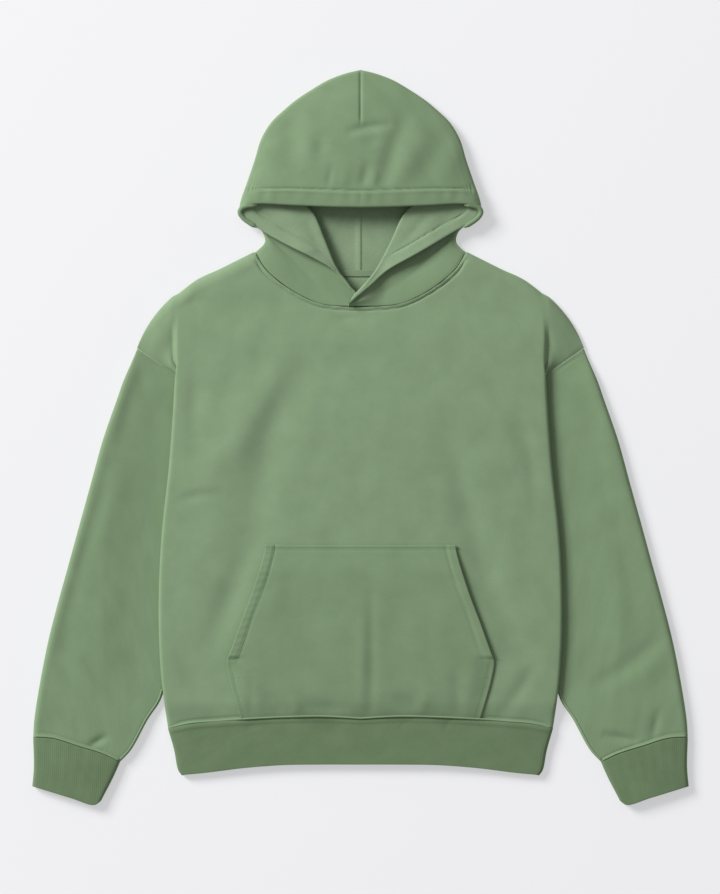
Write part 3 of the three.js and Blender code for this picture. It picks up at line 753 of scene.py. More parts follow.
def dress(piece: Object, slot: str, *nodes: str) -> Object:
    """Lets a piece ride on the part and stand for its nodes, whose solids it hides.

    Args:
        piece: The piece.
        slot: Not used.
        *nodes: The solids it stands for.

    Returns:
        The same piece.
    """
    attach(piece, "root")
    if nodes:
        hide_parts(*nodes)
    area = sum(face.area for face in piece.data.polygons)
    log.info("%s: %d faces, %.4f square metres", piece.name, len(piece.data.polygons), area)
    return piece


@dataclass
class Body:
    """Front and back of the body. The front's sides are folded under, over the sleeves."""

    crown_y: tuple[float, ...] = (-389, -350, -250, 0, 120, 187)  # where the front's heights are given
    crown_side: tuple[float, ...] = (7.6, 13.4, 14.8, 14.8, 14, 12)  # beside the fold edge
    crown_centre: tuple[float, ...] = (9.4, 15.5, 18.5, 20.5, 17.5, 13.5)  # at the centre line
    crown_half: float = 269.3  # half width over which the crown comes down
    tucked_sleeve: float = 5.0  # middle of a sleeve's upper layer where the front lies on it
    underarm_height: float = 3.9  # the same at the armhole
    sleeve_corner: float = 5.3  # and at the outer end of the armhole
    sleeve_inside: float = 8.5  # and where the sleeve shows, from its inside to its outside
    sleeve_middle: float = 9.6
    sleeve_outside: float = 11.5
    sleeve_rises: tuple[float, float] = (13.0, 62.0)  # start and length of its rise beside the fold
    cap_height: float = 8.4  # of the shoulder cap where the fold edge runs out onto it
    cap_bow: tuple[float, float] = (3.75, 3.3)  # how far the cap's seam bows out in x and y
    cap_puff: float = 3.0
    return_rise: float = 7.0  # length of the climb from the back to the folded return
    edge_round: float = 16.0  # width of the rounding down to the shoulder edge
    turn_reach: float = 0.68  # bulge of the fold, as a share of its height
    turn_over: float = 0.07  # share of the fold edge over which its lower end swings round
    neck_reach: tuple[float, float] = (160.0, 150.0)  # x and y beyond which no place is near the neck seam
    length: float = 570.0  # from the hem seam to the shoulder
    on_sleeve: tuple[float, float] = (0.025, 0.075)  # where the return climbs onto the sleeve
    rows: int = 170
    top_columns: int = 68
    fold_columns: int = 10
    under_columns: int = 10
    folds: tuple[Fold, ...] = (
        Fold(((-97, 104), (-131, 50), (-166, -8), (-204, -52)), 21, -3.1),
        Fold(((-92, 82), (-111, 36), (-131, -44), (-143, -110), (-158, -166)), 23, 3.6),
        Fold(((-158, -166), (-177, -217), (-198, -276)), 19, 3.6),
        Fold(((-222, 87), (-225, 7)), 17, 2.0),
        Fold(((-246, -84), (-218, -77), (-189, -74)), 7, 1.6),
        Fold(((-233, -70), (-174, -67)), 8, -0.9),
        Fold(((-247, -292), (-214, -337), (-185, -372)), 17, 2.6),
        Fold(((209, 28), (229, -34), (236, -80)), 15, 1.7),
        Fold(((118, 2), (146, -110), (173, -204), (213, -284)), 19, 2.9),
        Fold(((150, -28), (210, -44)), 16, -1.4),
        Fold(((226, -314), (207, -344), (189, -368)), 10, 1.9),
        Fold(((-29, 163), (-9, 163)), 7, 2.8),
        Fold(((-239, 183), (-219, 179)), 7, 1.4),
        Fold(((-40, 60), (30, 20), (60, -60)), 40, -1.1),
    )

    @property
    def return_layer(self) -> float:
        """Middle of the front where it lies on a sleeve."""
        return self.tucked_sleeve + ON_FLEECE

    @property
    def shoulder_edge(self) -> float:
        """Middle of the front on the back at the shoulder seam."""
        return FLOOR_LAYER + ON_FLEECE

    def crown(self, out: Array, y: Array) -> Array:
        """Height of the front's middle, without its folds.

        Args:
            out: Distance from the centre line.
            y: The places' y.

        Returns:
            A height for each place.
        """
        stations = np.array(self.crown_y, dtype=float)
        at = np.clip(np.searchsorted(stations, y), 1, len(stations) - 1)
        t = rise(y, stations[at - 1], stations[at] - stations[at - 1])
        sizes = np.array([self.crown_side, self.crown_centre])
        side, centre = mix(sizes[:, at - 1], sizes[:, at], t)
        return mix(side, centre, 1 - clamp(out / self.crown_half) ** 2)

    def rounding(self, distance: Array) -> Array:
        """How much of its height the front keeps near the shoulder edge."""
        return np.sqrt(1 - (1 - clamp(distance / self.edge_round)) ** 2)

    def front_height(self, plan: Array, u: Array, v: Array) -> Array:
        """Height of the front, which comes down to the shoulder and stays up along the neck.

        Args:
            plan: The places in plan.
            u: Their shares from the fold edge to the centre line.
            v: Their shares from the hem to the shoulder.

        Returns:
            A height for each place.
        """
        along_neck = np.maximum(0, u - SHOULDER_SHARE) * 100
        to_edge = np.hypot((1 - v) * self.length, along_neck)
        full = self.crown(np.abs(plan[..., 0]), plan[..., 1])
        return mix(self.shoulder_edge, full, self.rounding(to_edge))

    def neck_height(self, t: Array) -> Array:
        """Height of the front along its neck seam."""
        return self.front_height(neck_seam(t), mix(SHOULDER_SHARE, 1, t), np.ones(np.shape(t)))

    def sleeve_height(self, plan: Array, u: Array, v: Array) -> Array:
        """Height of a sleeve's upper layer, pressed flat under the body and fuller where it shows.

        Args:
            plan: The places in plan.
            u: Their shares from the sleeve's inside to its outside.
            v: Their shares from the armhole to the cuff.

        Returns:
            A height for each place.
        """
        tucked = mix(self.underarm_height, self.tucked_sleeve, rise(v, 0, 0.1))
        inside = mix(tucked, self.sleeve_inside, rise(v, 0.72, 0.15))
        outside = mix(self.sleeve_corner, self.sleeve_outside, rise(v, 0, 0.08))
        start, length = self.sleeve_rises
        shown = clamp((plan[..., 0] - fold_edge_x(plan[..., 1]) - start) / length) ** 1.4
        roll = np.exp(-(1 - u) / 0.07) * rise(v, 0, 0.12) * (1 - rise(v, 0.94, 0.06))
        middle = mix(inside, self.sleeve_middle, smooth(u * 1.5))
        level = mix(middle, outside, (1 - rise(v, 0, 0.1)) * u) + (outside - self.sleeve_middle) * roll
        return mix(inside, level, shown)

    def start_of(self, v: Array, under: Array) -> Array:
        """Where each row starts: side seam, hidden armhole or shown armhole.

        Args:
            v: The rows' shares from the hem to the shoulder.
            under: The height at which each row lies under the fold.

        Returns:
            A point for each row.
        """
        side = SmoothLine(SIDE_SEAM)(clamp(v / UNDERARM_AT)) + [SEAM, 0]
        side_z = mix(FLOOR_LAYER, under, rise(v, UNDERARM_AT - 0.05, 0.05))
        hidden = SmoothLine(HIDDEN_ARMHOLE)(clamp((v - UNDERARM_AT) / (ARMHOLE_AT - UNDERARM_AT)))
        share = clamp((v - ARMHOLE_AT) / (1 - ARMHOLE_AT))
        shown = SmoothLine(SHOWN_ARMHOLE)(share)
        on_sleeve = self.sleeve_height(shown, mix(0.45, 1, share), np.zeros(v.shape))
        shown_z = np.maximum(self.shoulder_edge, mix(on_sleeve, self.shoulder_edge, rise(share, 0.6, 0.4)))
        below = [v < UNDERARM_AT, v <= ARMHOLE_AT]
        start = np.select([part[:, None] for part in below], [side, hidden], shown)
        return raised(start, np.select(below, [side_z, np.full(v.shape, self.return_layer)], shown_z))

    def half_rows(self, v: Array, top: Plan) -> Array:
        """Rows of the wearer's left half of the front, from hidden seam to centre line.

        Args:
            v: Where the rows are, as shares from hem to shoulder.
            top: The plan of the half that shows.

        Returns:
            A grid of points, with one row for each v.
        """
        at_cap = clamp((v - ARMHOLE_AT) / (1 - ARMHOLE_AT))
        cap = smooth(at_cap / 0.2)
        swing = math.pi * rise(v, ARMHOLE_AT - self.turn_over / 2, self.turn_over)
        edge = fold_edge(v)
        top_layer = self.crown(np.full(v.shape, self.crown_half), edge[:, 1])
        foot, head = self.on_sleeve
        under = mix(FLOOR_LAYER, self.return_layer, rise(v, foot, head - foot))
        rounding = self.rounding((1 - v) * self.length)
        inset = (top_layer - under) / 2 * 1.1 + FLEECE / 2
        low = mix(under, mix(self.cap_height, top_layer, rise(at_cap, 0.35, 0.45)), cap)
        low = np.where(v > ARMHOLE_AT, mix(self.shoulder_edge, low, rounding), low)
        bottom = np.stack([mix(edge[:, 0] - inset, edge[:, 0] + 3, cap), edge[:, 1], low], axis=1)
        s = np.linspace(0, 1, self.top_columns + 1)[None, :]
        u = mix(mix(inset, 6, cap)[:, None] / edge[:, :1], 1, s)
        plan = top(u, v[:, None])
        shown = raised(plan, self.front_height(plan, u, v[:, None]))
        start = self.start_of(v, under)
        slack = start[:, 0] - (bottom[:, 0] - SEAM)
        start[:, 0] -= np.where(v <= ARMHOLE_AT, np.maximum(0, slack), 0)
        turned = self.turn(bottom, shown[:, 0], swing)
        return np.concatenate([self.under_part(start, bottom, at_cap, rounding), turned, shown], axis=1)

    def under_part(self, start: Array, bottom: Array, at_cap: Array, rounding: Array) -> Array:
        """From a row's start to the fold: a climb and a flat return, or the shoulder cap.

        Args:
            start: Each row's first point.
            bottom: Each row's point at the lower end of the fold.
            at_cap: Each row's share from the armhole to the shoulder, or 0 below the armhole.
            rounding: How much of its height each row keeps near the shoulder edge.

        Returns:
            A grid of points without those of the fold.
        """
        s = np.linspace(0, 1, self.under_columns, endpoint=False)[None, :]
        gap = np.linalg.norm(start - bottom, axis=1)[:, None]
        climbed = np.minimum(0.3, self.return_rise / np.maximum(gap, LEAST))
        part = start[:, None, :] + (bottom - start)[:, None, :] * s[..., None]
        return_z = mix(start[:, None, 2], bottom[:, None, 2], smooth(s / climbed))
        on_cap = (at_cap > 0)[:, None]
        bow = np.where(on_cap, arch(s) * (at_cap**2)[:, None], 0)
        part[..., :2] += bow[..., None] * np.array(self.cap_bow)
        cap_z = part[..., 2] + self.cap_puff * rounding[:, None] * arch(s) * (1 - at_cap)[:, None]
        part[..., 2] = np.where(on_cap, cap_z, return_z)
        return part

    def turn(self, bottom: Array, top: Array, swing: Array) -> Array:
        """The turn at the fold edge: half a turn over a sleeve, a soft step on the shoulder.

        Args:
            bottom: Its lower points, one a row.
            top: Its upper points.
            swing: The angle from which it leaves its lower points: 0 is outwards, a half turn inwards.

        Returns:
            A grid of points without the upper ones.
        """
        reach = self.turn_reach * np.abs(top[:, 2] - bottom[:, 2])
        flat = np.zeros(reach.shape)
        leave = np.stack([reach * np.cos(swing), flat, reach * np.sin(swing)], axis=1)
        handles = [bottom, bottom + leave, top + np.stack([reach, flat, flat], axis=1), top]
        t = np.linspace(0, 1, self.fold_columns, endpoint=False)[None, :, None]
        weights = [(1 - t) ** 3, 3 * t * (1 - t) ** 2, 3 * t**2 * (1 - t), t**3]
        return sum(weight * handle[:, None, :] for weight, handle in zip(weights, handles))

    def front_grid(self) -> Array:
        """The whole front with its folds and the ridges along its seams."""
        t = np.linspace(0, 1, self.rows)
        v = t - 0.5 * np.sin(2 * math.pi * t) / (2 * math.pi)
        high = corner(SmoothLine(SHOULDER), neck_seam, SHOULDER_SHARE)
        top = patch(hem_seam, high, fold_edge, straight(hem_seam(1.0), high(1.0)))
        half = self.half_rows(v, top)
        grid = both_halves(half)
        columns = np.arange(grid.shape[1])
        from_fold = np.minimum(columns, columns[::-1]) - self.under_columns - self.fold_columns
        x, y = grid[..., 0], grid[..., 1]
        full = smooth(from_fold / 8)[None, :] * (1 - rise(v, 0.955, 0.03))[:, None]
        grid[..., 2] -= full * (total_drop(self.folds, x, y) - ripple(x, y))
        grid[..., 2] += smooth(from_fold / 3)[None, :] * self.seam_relief(x, y)
        return grid

    def seam_relief(self, x: Array, y: Array) -> Array:
        """The ridges of the seam allowances beside the hem and neck seams, and their stitch lines.

        Args:
            x: The places' x.
            y: Their y.

        Returns:
            How far each place is raised.
        """
        out = np.abs(x)
        hem, neck = hem_seam.points[::-1], neck_seam.points[::6]
        from_neck = np.full(x.shape, np.inf)
        near = (out < self.neck_reach[0]) & (y > self.neck_reach[1])
        apart = np.hypot(out[near][:, None] - neck[:, 0], y[near][:, None] - neck[:, 1])
        from_neck[near] = apart.min(axis=1)
        return relief(HEM_RIDGES, y - np.interp(out, hem[:, 0], hem[:, 1])) + relief(NECK_RIDGES, from_neck)

    def back_grid(self) -> Array:
        """The back, flat on the surface."""
        side = corner(SmoothLine(SIDE_SEAM), armhole, SIDE_SEAM_SHARE)
        shoulder = corner(SmoothLine(SHOULDER_CAP), SmoothLine(SHOULDER), BACK_CAP_SHARE)
        high = corner(shoulder, SmoothLine(BACK_NECK), BACK_SHOULDER_SHARE)
        hem = SmoothLine(BACK_HEM)
        inside = patch(hem, high, side, straight(hem(1.0), high(1.0)))
        u, v = np.meshgrid(np.linspace(0, 1, 40), np.linspace(0, 1, 80))
        return both_halves(raised(inside(u, v), FLOOR_LAYER))

    def build(self, finishes: Finishes) -> Pieces:
        """Makes the front and the back.

        Args:
            finishes: The finishes to dress them in.

        Returns:
            The two pieces by name.
        """
        front = Cloth("front_panel", self.front_grid(), FLEECE).build(finishes.face, finishes.back)
        back = Cloth("back_panel", self.back_grid(), FLEECE).build(finishes.back, finishes.face)
        dress(front, "fleece", "front")
        dress(back, "fleece", "back")
        return {"front": front, "back": back}


def tube(plan: Plan, rows: Array, upper: Callable[[Array, Array, Array], Array],
         lower: float, wall: float, columns: int, turn: int = 6) -> Array:
    """A flattened tube: upper layer outwards, a turn, lower layer inwards, a turn.

    Args:
        plan: Its plan, with u across and v along it.
        rows: Where its rings are, as v.
        upper: The upper layer's height at plan, u and v.
        lower: The lower layer's height.
        wall: The cloth's thickness.
        columns: Steps across each layer.
        turn: Steps in each turn.

    Returns:
        A grid of points whose last column meets the first one.
    """
    ends = [plan(np.full(rows.shape, u), rows) for u in (0.0, 1.0)]
    width = np.linalg.norm(ends[1] - ends[0], axis=1)
    bulge = [(upper(end, np.full(rows.shape, u), rows) - lower) / 2 for u, end in zip((0.0, 1.0), ends)]
    start, end = (bulge[0] + wall / 2) / width, 1 - (bulge[1] + wall / 2) / width
    u = mix(start[:, None], end[:, None], np.linspace(0, 1, columns + 1)[None, :])
    flat = plan(u, rows[:, None])
    over = raised(flat, upper(flat, u, rows[:, None]))
    under = raised(flat, lower)[:, ::-1]
    inward, outward = (towards(ends[k], flat[:, -k]) for k in (0, 1))
    return np.concatenate([
        over,
        half_turn(over[:, -1], under[:, 0], outward, bulge[1], turn),
        under,
        half_turn(under[:, -1], over[:, 0], inward, bulge[0], turn),
    ], axis=1)


@dataclass
class Sleeves:
    """Both sleeves with their rib cuffs."""

    body: Body
    length: float = 540.0
    beside_fold: float = 6.0  # from the front's fold edge to where a sleeve's own folds begin
    cuff_top: float = 9.0  # height of a cuff's upper layer at its sides
    cuff_crown: float = 2.5  # and how much it rises to its middle
    gathers: float = 0.25
    rows: int = 150
    columns: int = 44
    cuff_rows: int = 26
    cuff_columns: int = 36
    folds: dict[Side, tuple[Fold, ...]] = field(
        default_factory=lambda: {
            Side.RIGHT: (
                Fold(((363, -303), (334, -332), (307, -352)), 11, 2.4),
                Fold(((371, -318), (346, -345)), 12, -1.1),
                Fold(((360, -411), (341, -400)), 5, 2.6),
                Fold(((302, 70), (345, -81), (373, -168), (398, -282)), 11, 1.4),
                Fold(((317, -8), (339, -126)), 22, -1.2),
                Fold(((300, 98), (288, 60)), 9, 1.1),
                Fold(((385, -372), (368, -402)), 9, 1.2),
            ),
            Side.LEFT: (
                Fold(((395, -273), (353, -308), (318, -328)), 12, 2.3),
                Fold(((408, -290), (372, -322)), 13, -0.9),
                Fold(((328, -397), (363, -404)), 6, 2.8),
                Fold(((396, -368), (390, -398)), 6, 2.0),
                Fold(((300, 60), (330, -60), (352, -160), (370, -240)), 14, 1.2),
                Fold(((330, 0), (362, -120)), 20, -0.9),
            ),
        }
    )

    def height(self, side: Side) -> Callable[[Array, Array, Array], Array]:
        """Height of one sleeve's upper layer with its folds.

        Args:
            side: The sleeve's side.

        Returns:
            A function of the places in plan and their shares across and along the sleeve.
        """

        def upper(plan: Array, u: Array, v: Array) -> Array:
            """Height at places in plan, u across and v along the sleeve."""
            x, y = plan[..., 0], plan[..., 1]
            shown = rise(x, fold_edge_x(y) + self.beside_fold, 16) * smooth(arch(u) * 3)
            from_cuff, from_armhole = self.length * (1 - v), self.length * v
            seams = relief(CUFF_RIDGES, from_cuff) + relief(ARMHOLE_RIDGES, from_armhole)
            loose = ripple(side.value * x, y) - total_drop(self.folds[side], x, y)
            return self.body.sleeve_height(plan, u, v) + shown * (loose * smooth(from_cuff / 8) + seams)

        return upper

    def sleeve(self, side: Side, finishes: Finishes) -> Object:
        """Makes one sleeve.

        Args:
            side: Its side.
            finishes: The finishes to dress it in.

        Returns:
            The finished sleeve.
        """
        plan = patch(armhole, SmoothLine(CUFF_SEAM), SmoothLine(SLEEVE_INSIDE), SmoothLine(SLEEVE_OUTSIDE))
        t = np.linspace(0, 1, self.rows)
        shares = t - 0.45 * np.sin(2 * math.pi * t) / (2 * math.pi)
        rows = mix(2 * SEAM / self.length, 1 - SEAM / self.length, shares)
        grid = tube(plan, rows, self.height(side), FLOOR_LAYER, FLEECE, self.columns)
        cloth = Cloth(f"sleeve_{side.word}_tube", side.place(grid), FLEECE, ring=True, top=0.2)
        # The sleeve's outer face takes the darker copy of the fleece: painted shade.
        return dress(cloth.build(finishes.off_grain, finishes.back), "fleece", f"sleeve_{side.word}")

    def cuff(self, side: Side, finishes: Finishes) -> Object:
        """Makes one cuff, a band of rib folded double.

        Args:
            side: Its side.
            finishes: The finishes to dress it in.

        Returns:
            The finished cuff.
        """
        plan = patch(SmoothLine(CUFF_SEAM), SmoothLine(CUFF_END), SmoothLine(CUFF_INSIDE),
                     SmoothLine(CUFF_OUTSIDE))

        def upper(_: Array, u: Array, v: Array) -> Array:
            """Height at u across and v along the cuff."""
            gathers = self.gathers * np.sin(31 * u + 1.3 * side.value) * np.sin(17 * u + 0.4)
            return self.cuff_top + self.cuff_crown * arch(u) + smooth(arch(u) * 2) * gathers * (1 - 0.7 * v)

        rows = np.linspace(0.004, 1, self.cuff_rows)
        grid = tube(plan, rows, upper, RIB_LAYER, RIB, self.cuff_columns)
        cloth = Cloth(f"cuff_{side.word}_band", side.place(grid), RIB, ring=True, top=0.2, edge=1.3)
        return dress(cloth.build(finishes.rib, finishes.rib), "rib", f"cuff_{side.word}")

    def build(self, finishes: Finishes) -> Pieces:
        """Makes both sleeves and both cuffs.

        Args:
            finishes: The finishes to dress them in.

        Returns:
            The pieces by name.
        """
        made = {}
        for side in Side:
            made[f"sleeve_{side.word}"] = self.sleeve(side, finishes)
            made[f"cuff_{side.word}"] = self.cuff(side, finishes)
        return made


@dataclass
class HemBand:
    """The rib band at the hem, a tube folded double."""

    height: float = 61.0
    tuck: float = 1.0  # how far its top edge goes under the body's edge
    end_top: float = 7.4  # middle of its upper layer at its open end, without its crown
    seam_top: float = 8.4  # and at the seam
    crown: float = 2.6
    welt: float = 0.9  # how far it swells beside the seam
    dip: float = 0.5  # how far its edge is pulled down at the seam
    rows: int = 40
    columns: int = 150
    folds: tuple[Fold, ...] = (
        Fold(((-146, -381), (-143, -392)), 12, 1.2),
        Fold(((-66, -384), (-45, -392), (-20, -398)), 12, 1.2),
        Fold(((55, -380), (60, -386)), 9, 0.7),
        Fold(((112, -380), (120, -384)), 11, 1.2),
        Fold(((-215, -398), (-205, -420)), 16, 0.8),
        Fold(((-100, -430), (60, -425)), 18, 0.7),
    )

    def build(self, finishes: Finishes) -> Object:
        """Makes the band.

        Args:
            finishes: The finishes to dress it in.

        Returns:
            The finished band.
        """
        end = SmoothLine(HEM_END)
        half = patch(end, hem_seam, SmoothLine(HEM_SIDE), straight(end(1.0), hem_seam(1.0)))

        def plan(share: Array, v: Array) -> Array:
            """Points at a share of the band's width and v from its end to the seam."""
            points = half(1 - np.abs(2 * share - 1), v)
            points[..., 0] *= np.where(share < 0.5, -1, 1)
            return points

        def upper(points: Array, u: Array, v: Array) -> Array:
            """Height at places in plan, u across and v along the band."""
            x, y = points[..., 0], points[..., 1]
            height = mix(self.end_top, self.seam_top, v) + self.crown * arch(u) ** 0.7
            loose = 0.5 * ripple(x, y) - total_drop(self.folds, x, y)
            below_seam = (1 - v) * self.height
            turned = self.welt * bump(below_seam - 3.4, 2.6) - self.dip * smooth((1.0 - below_seam) / 1.6)
            return height + smooth(arch(u) * 6) * loose + smooth(arch(u) * 12) * turned

        shares = np.linspace(0, 1, self.rows)
        rows = (1 + self.tuck / self.height) * shares * mix(1.35, 1, shares)
        grid = tube(plan, rows, upper, RIB_LAYER, RIB, self.columns)
        cloth = Cloth("hem_rib_band", grid, RIB, ring=True, top=0.2, edge=1.3)
        return dress(cloth.build(finishes.rib, finishes.rib), "rib", "hem_band")


@dataclass
class Pocket:
    """The kangaroo pocket, sewn on at its top, bottom and lower sides."""

    body: Body
    rows: int = 90
    columns: int = 62
    puff: float = 2.6  # how far its middle stands off the front
    hand_from: float = 0.35  # share of its height from which its sides are open
    hem_width: float = 12.0
    double: float = 0.7  # how far its hems stand up, and how deep their stitch lines are
    pucker: float = 0.35
    slant: float = 0.93  # from a distance along x to one square to the slanted opening
    height: float = 233.0
    hem_drop: float = 1.0  # how far its sewn lower edge is pulled down into the hem seam
    hem_drop_length: float = 9.0
    folds: tuple[Fold, ...] = (
        Fold(((14, -212), (15, -297), (13, -372)), 8, 1.3),
        Fold(((4, -240), (2, -350)), 9, -1.0),
        Fold(((-81, -197), (-67, -297)), 30, 1.4),
        Fold(((53, -221), (55, -290)), 22, 1.1),
        Fold(((106, -217), (107, -284)), 13, -0.8),
        Fold(((-112, -190), (-118, -245)), 13, -0.8),
        Fold(((-130, -342), (-101, -364)), 11, 1.9),
        Fold(((-67, -357), (-26, -360)), 9, 1.7),
        Fold(((-90, -350), (-82, -366)), 7, -1.1),
        Fold(((37, -350), (75, -356)), 10, 1.4),
        Fold(((86, -345), (80, -366)), 8, -1.1),
        Fold(((127, -313), (130, -372)), 9, 1.2),
        Fold(((-146, -317), (-145, -372)), 7, 1.0),
    )

    def half_plan(self) -> Plan:
        """The plan of the wearer's left half."""
        low = SmoothLine([row for row in HEM_SEAM if row[0] < POCKET_SIDE[0][0] + FLEECE])

        def bottom(u: Array) -> Array:
            """Points of the hem seam between the side and the centre line."""
            points = low(u)
            points[..., 0] = mix(POCKET_SIDE[0][0], 0, u)
            return points

        top = SmoothLine(POCKET_TOP)
        return patch(bottom, top, SmoothLine(POCKET_SIDE), straight(bottom(np.array(1.0)), top(1.0)))

    def grid(self) -> Array:
        """The pocket's middle, lifted off the front."""
        u, v = np.meshgrid(np.linspace(0, 1, self.columns), np.linspace(0, 1, self.rows))
        half = self.half_plan()(u, v)
        from_sewn = np.minimum(1, np.minimum(v, 1 - v) * 6)
        at_side = np.where(v > self.hand_from, 1.0, smooth(u * 6))
        z = self.body.crown(np.abs(half[..., 0]), half[..., 1]) + ON_FLEECE + SEAM
        z = z - self.hem_drop * (1 - smooth(v * self.height / self.hem_drop_length))
        z = z + self.puff * smooth(from_sewn) * at_side
        whole = both_halves(raised(half, z))
        x, y = whole[..., 0], whole[..., 1]
        rows = np.concatenate([v, v[:, -2::-1]], axis=1)
        inner = smooth(np.minimum(rows, 1 - rows) * self.rows / 4)
        drop = total_drop(self.folds, x, y) - 0.6 * ripple(x, y)
        whole[..., 2] -= inner * np.minimum(self.puff, drop)
        whole[..., 2] += self.hems(whole, rows)
        return whole

    def hems(self, whole: Array, rows: Array) -> Array:
        """The doubled hems of the hand openings and the turned top edge, with their stitch lines.

        Args:
            whole: The pocket's points.
            rows: Their shares from the bottom to the top.

        Returns:
            How far each point is raised.
        """
        x, y = whole[..., 0], whole[..., 1]
        side = SmoothLine(POCKET_SIDE).points
        inward = (np.interp(y, side[:, 1], side[:, 0]) - np.abs(x)) * self.slant
        below_top = POCKET_TOP[0][1] - y
        hand = rise(rows, self.hand_from - 0.05, 0.05)
        puckers = self.pucker * np.sin(0.62 * y + 0.9 * np.sin(0.11 * y)) * bump(inward - 6, 4)
        opening = self.double * smooth((self.hem_width - inward) / 2) + puckers * smooth(-x / 20)
        opening = opening + relief([Ridge(-self.double, self.hem_width, 1.5)], inward)
        sewn = relief([Ridge(-0.6, POCKET_SIDE_ROW, 1.6)], inward)
        top = 0.5 * smooth((6 - below_top) / 2) + relief([Ridge(-0.7, POCKET_TOP_ROW, 1.4)], below_top)
        return hand * opening + (1 - hand) * sewn + top

    def build(self, finishes: Finishes) -> Object:
        """Makes the pocket and dresses it."""
        cloth = Cloth("kangaroo_pocket", self.grid(), FLEECE)
        # The pocket's outer face takes the darker copy of the fleece: painted shade.
        return dress(cloth.build(finishes.off_grain, finishes.back), "fleece", "pocket")


HOOD_OUTLINE = [(0, 490), (20.7, 485), (43.3, 476.3), (66, 463), (86, 449.7), (102, 436.3), (118, 421),
                (132, 398), (140.7, 370), (150, 343), (159.3, 316.3), (162, 303)]
HOOD_HEM = [(0, 305.2), (35.3, 305.8), (94, 308.4), (135, 310.5), (153, 308)]
HOOD_SIDE = [(162, 303), (146, 288), (130, 274), (127.3, 260), (136.7, 249.7), (140.7, 247)]
COLLAR_SIDE = [(136, 246), (124, 260), (127, 274), (139, 288), (122, 314), (94, 330)]
INNER_FOLD = {
    Side.RIGHT: [(94, 330), (63.3, 299), (48, 262), (34, 225.7), (20.7, 206), (4, 188)],
    Side.LEFT: [(94, 330), (59.3, 299), (42, 262), (23.3, 224.3), (7.3, 203), (-12, 183)],
}
OPEN_EDGE = {
    Side.RIGHT: [(160, 301), (153, 289.5), (134, 276), (94, 253.5), (56.7, 235), (31.3, 220),
                 (16.7, 204), (3, 183)],
    Side.LEFT: [(160, 301), (153, 289.5), (123.3, 272.3), (76.7, 244.3), (36.7, 221.7), (15.3, 203),
                (-5, 187), (-17, 176)],
}
NECK_END = {Side.RIGHT: (3, 174.3), Side.LEFT: (-17, 174.6)}
CORNER_ROLL = [(138, 309.3), (150, 308.3), (158, 305), (160.6, 299.5), (156.5, 292.5), (148, 285.8),
               (138, 280)]


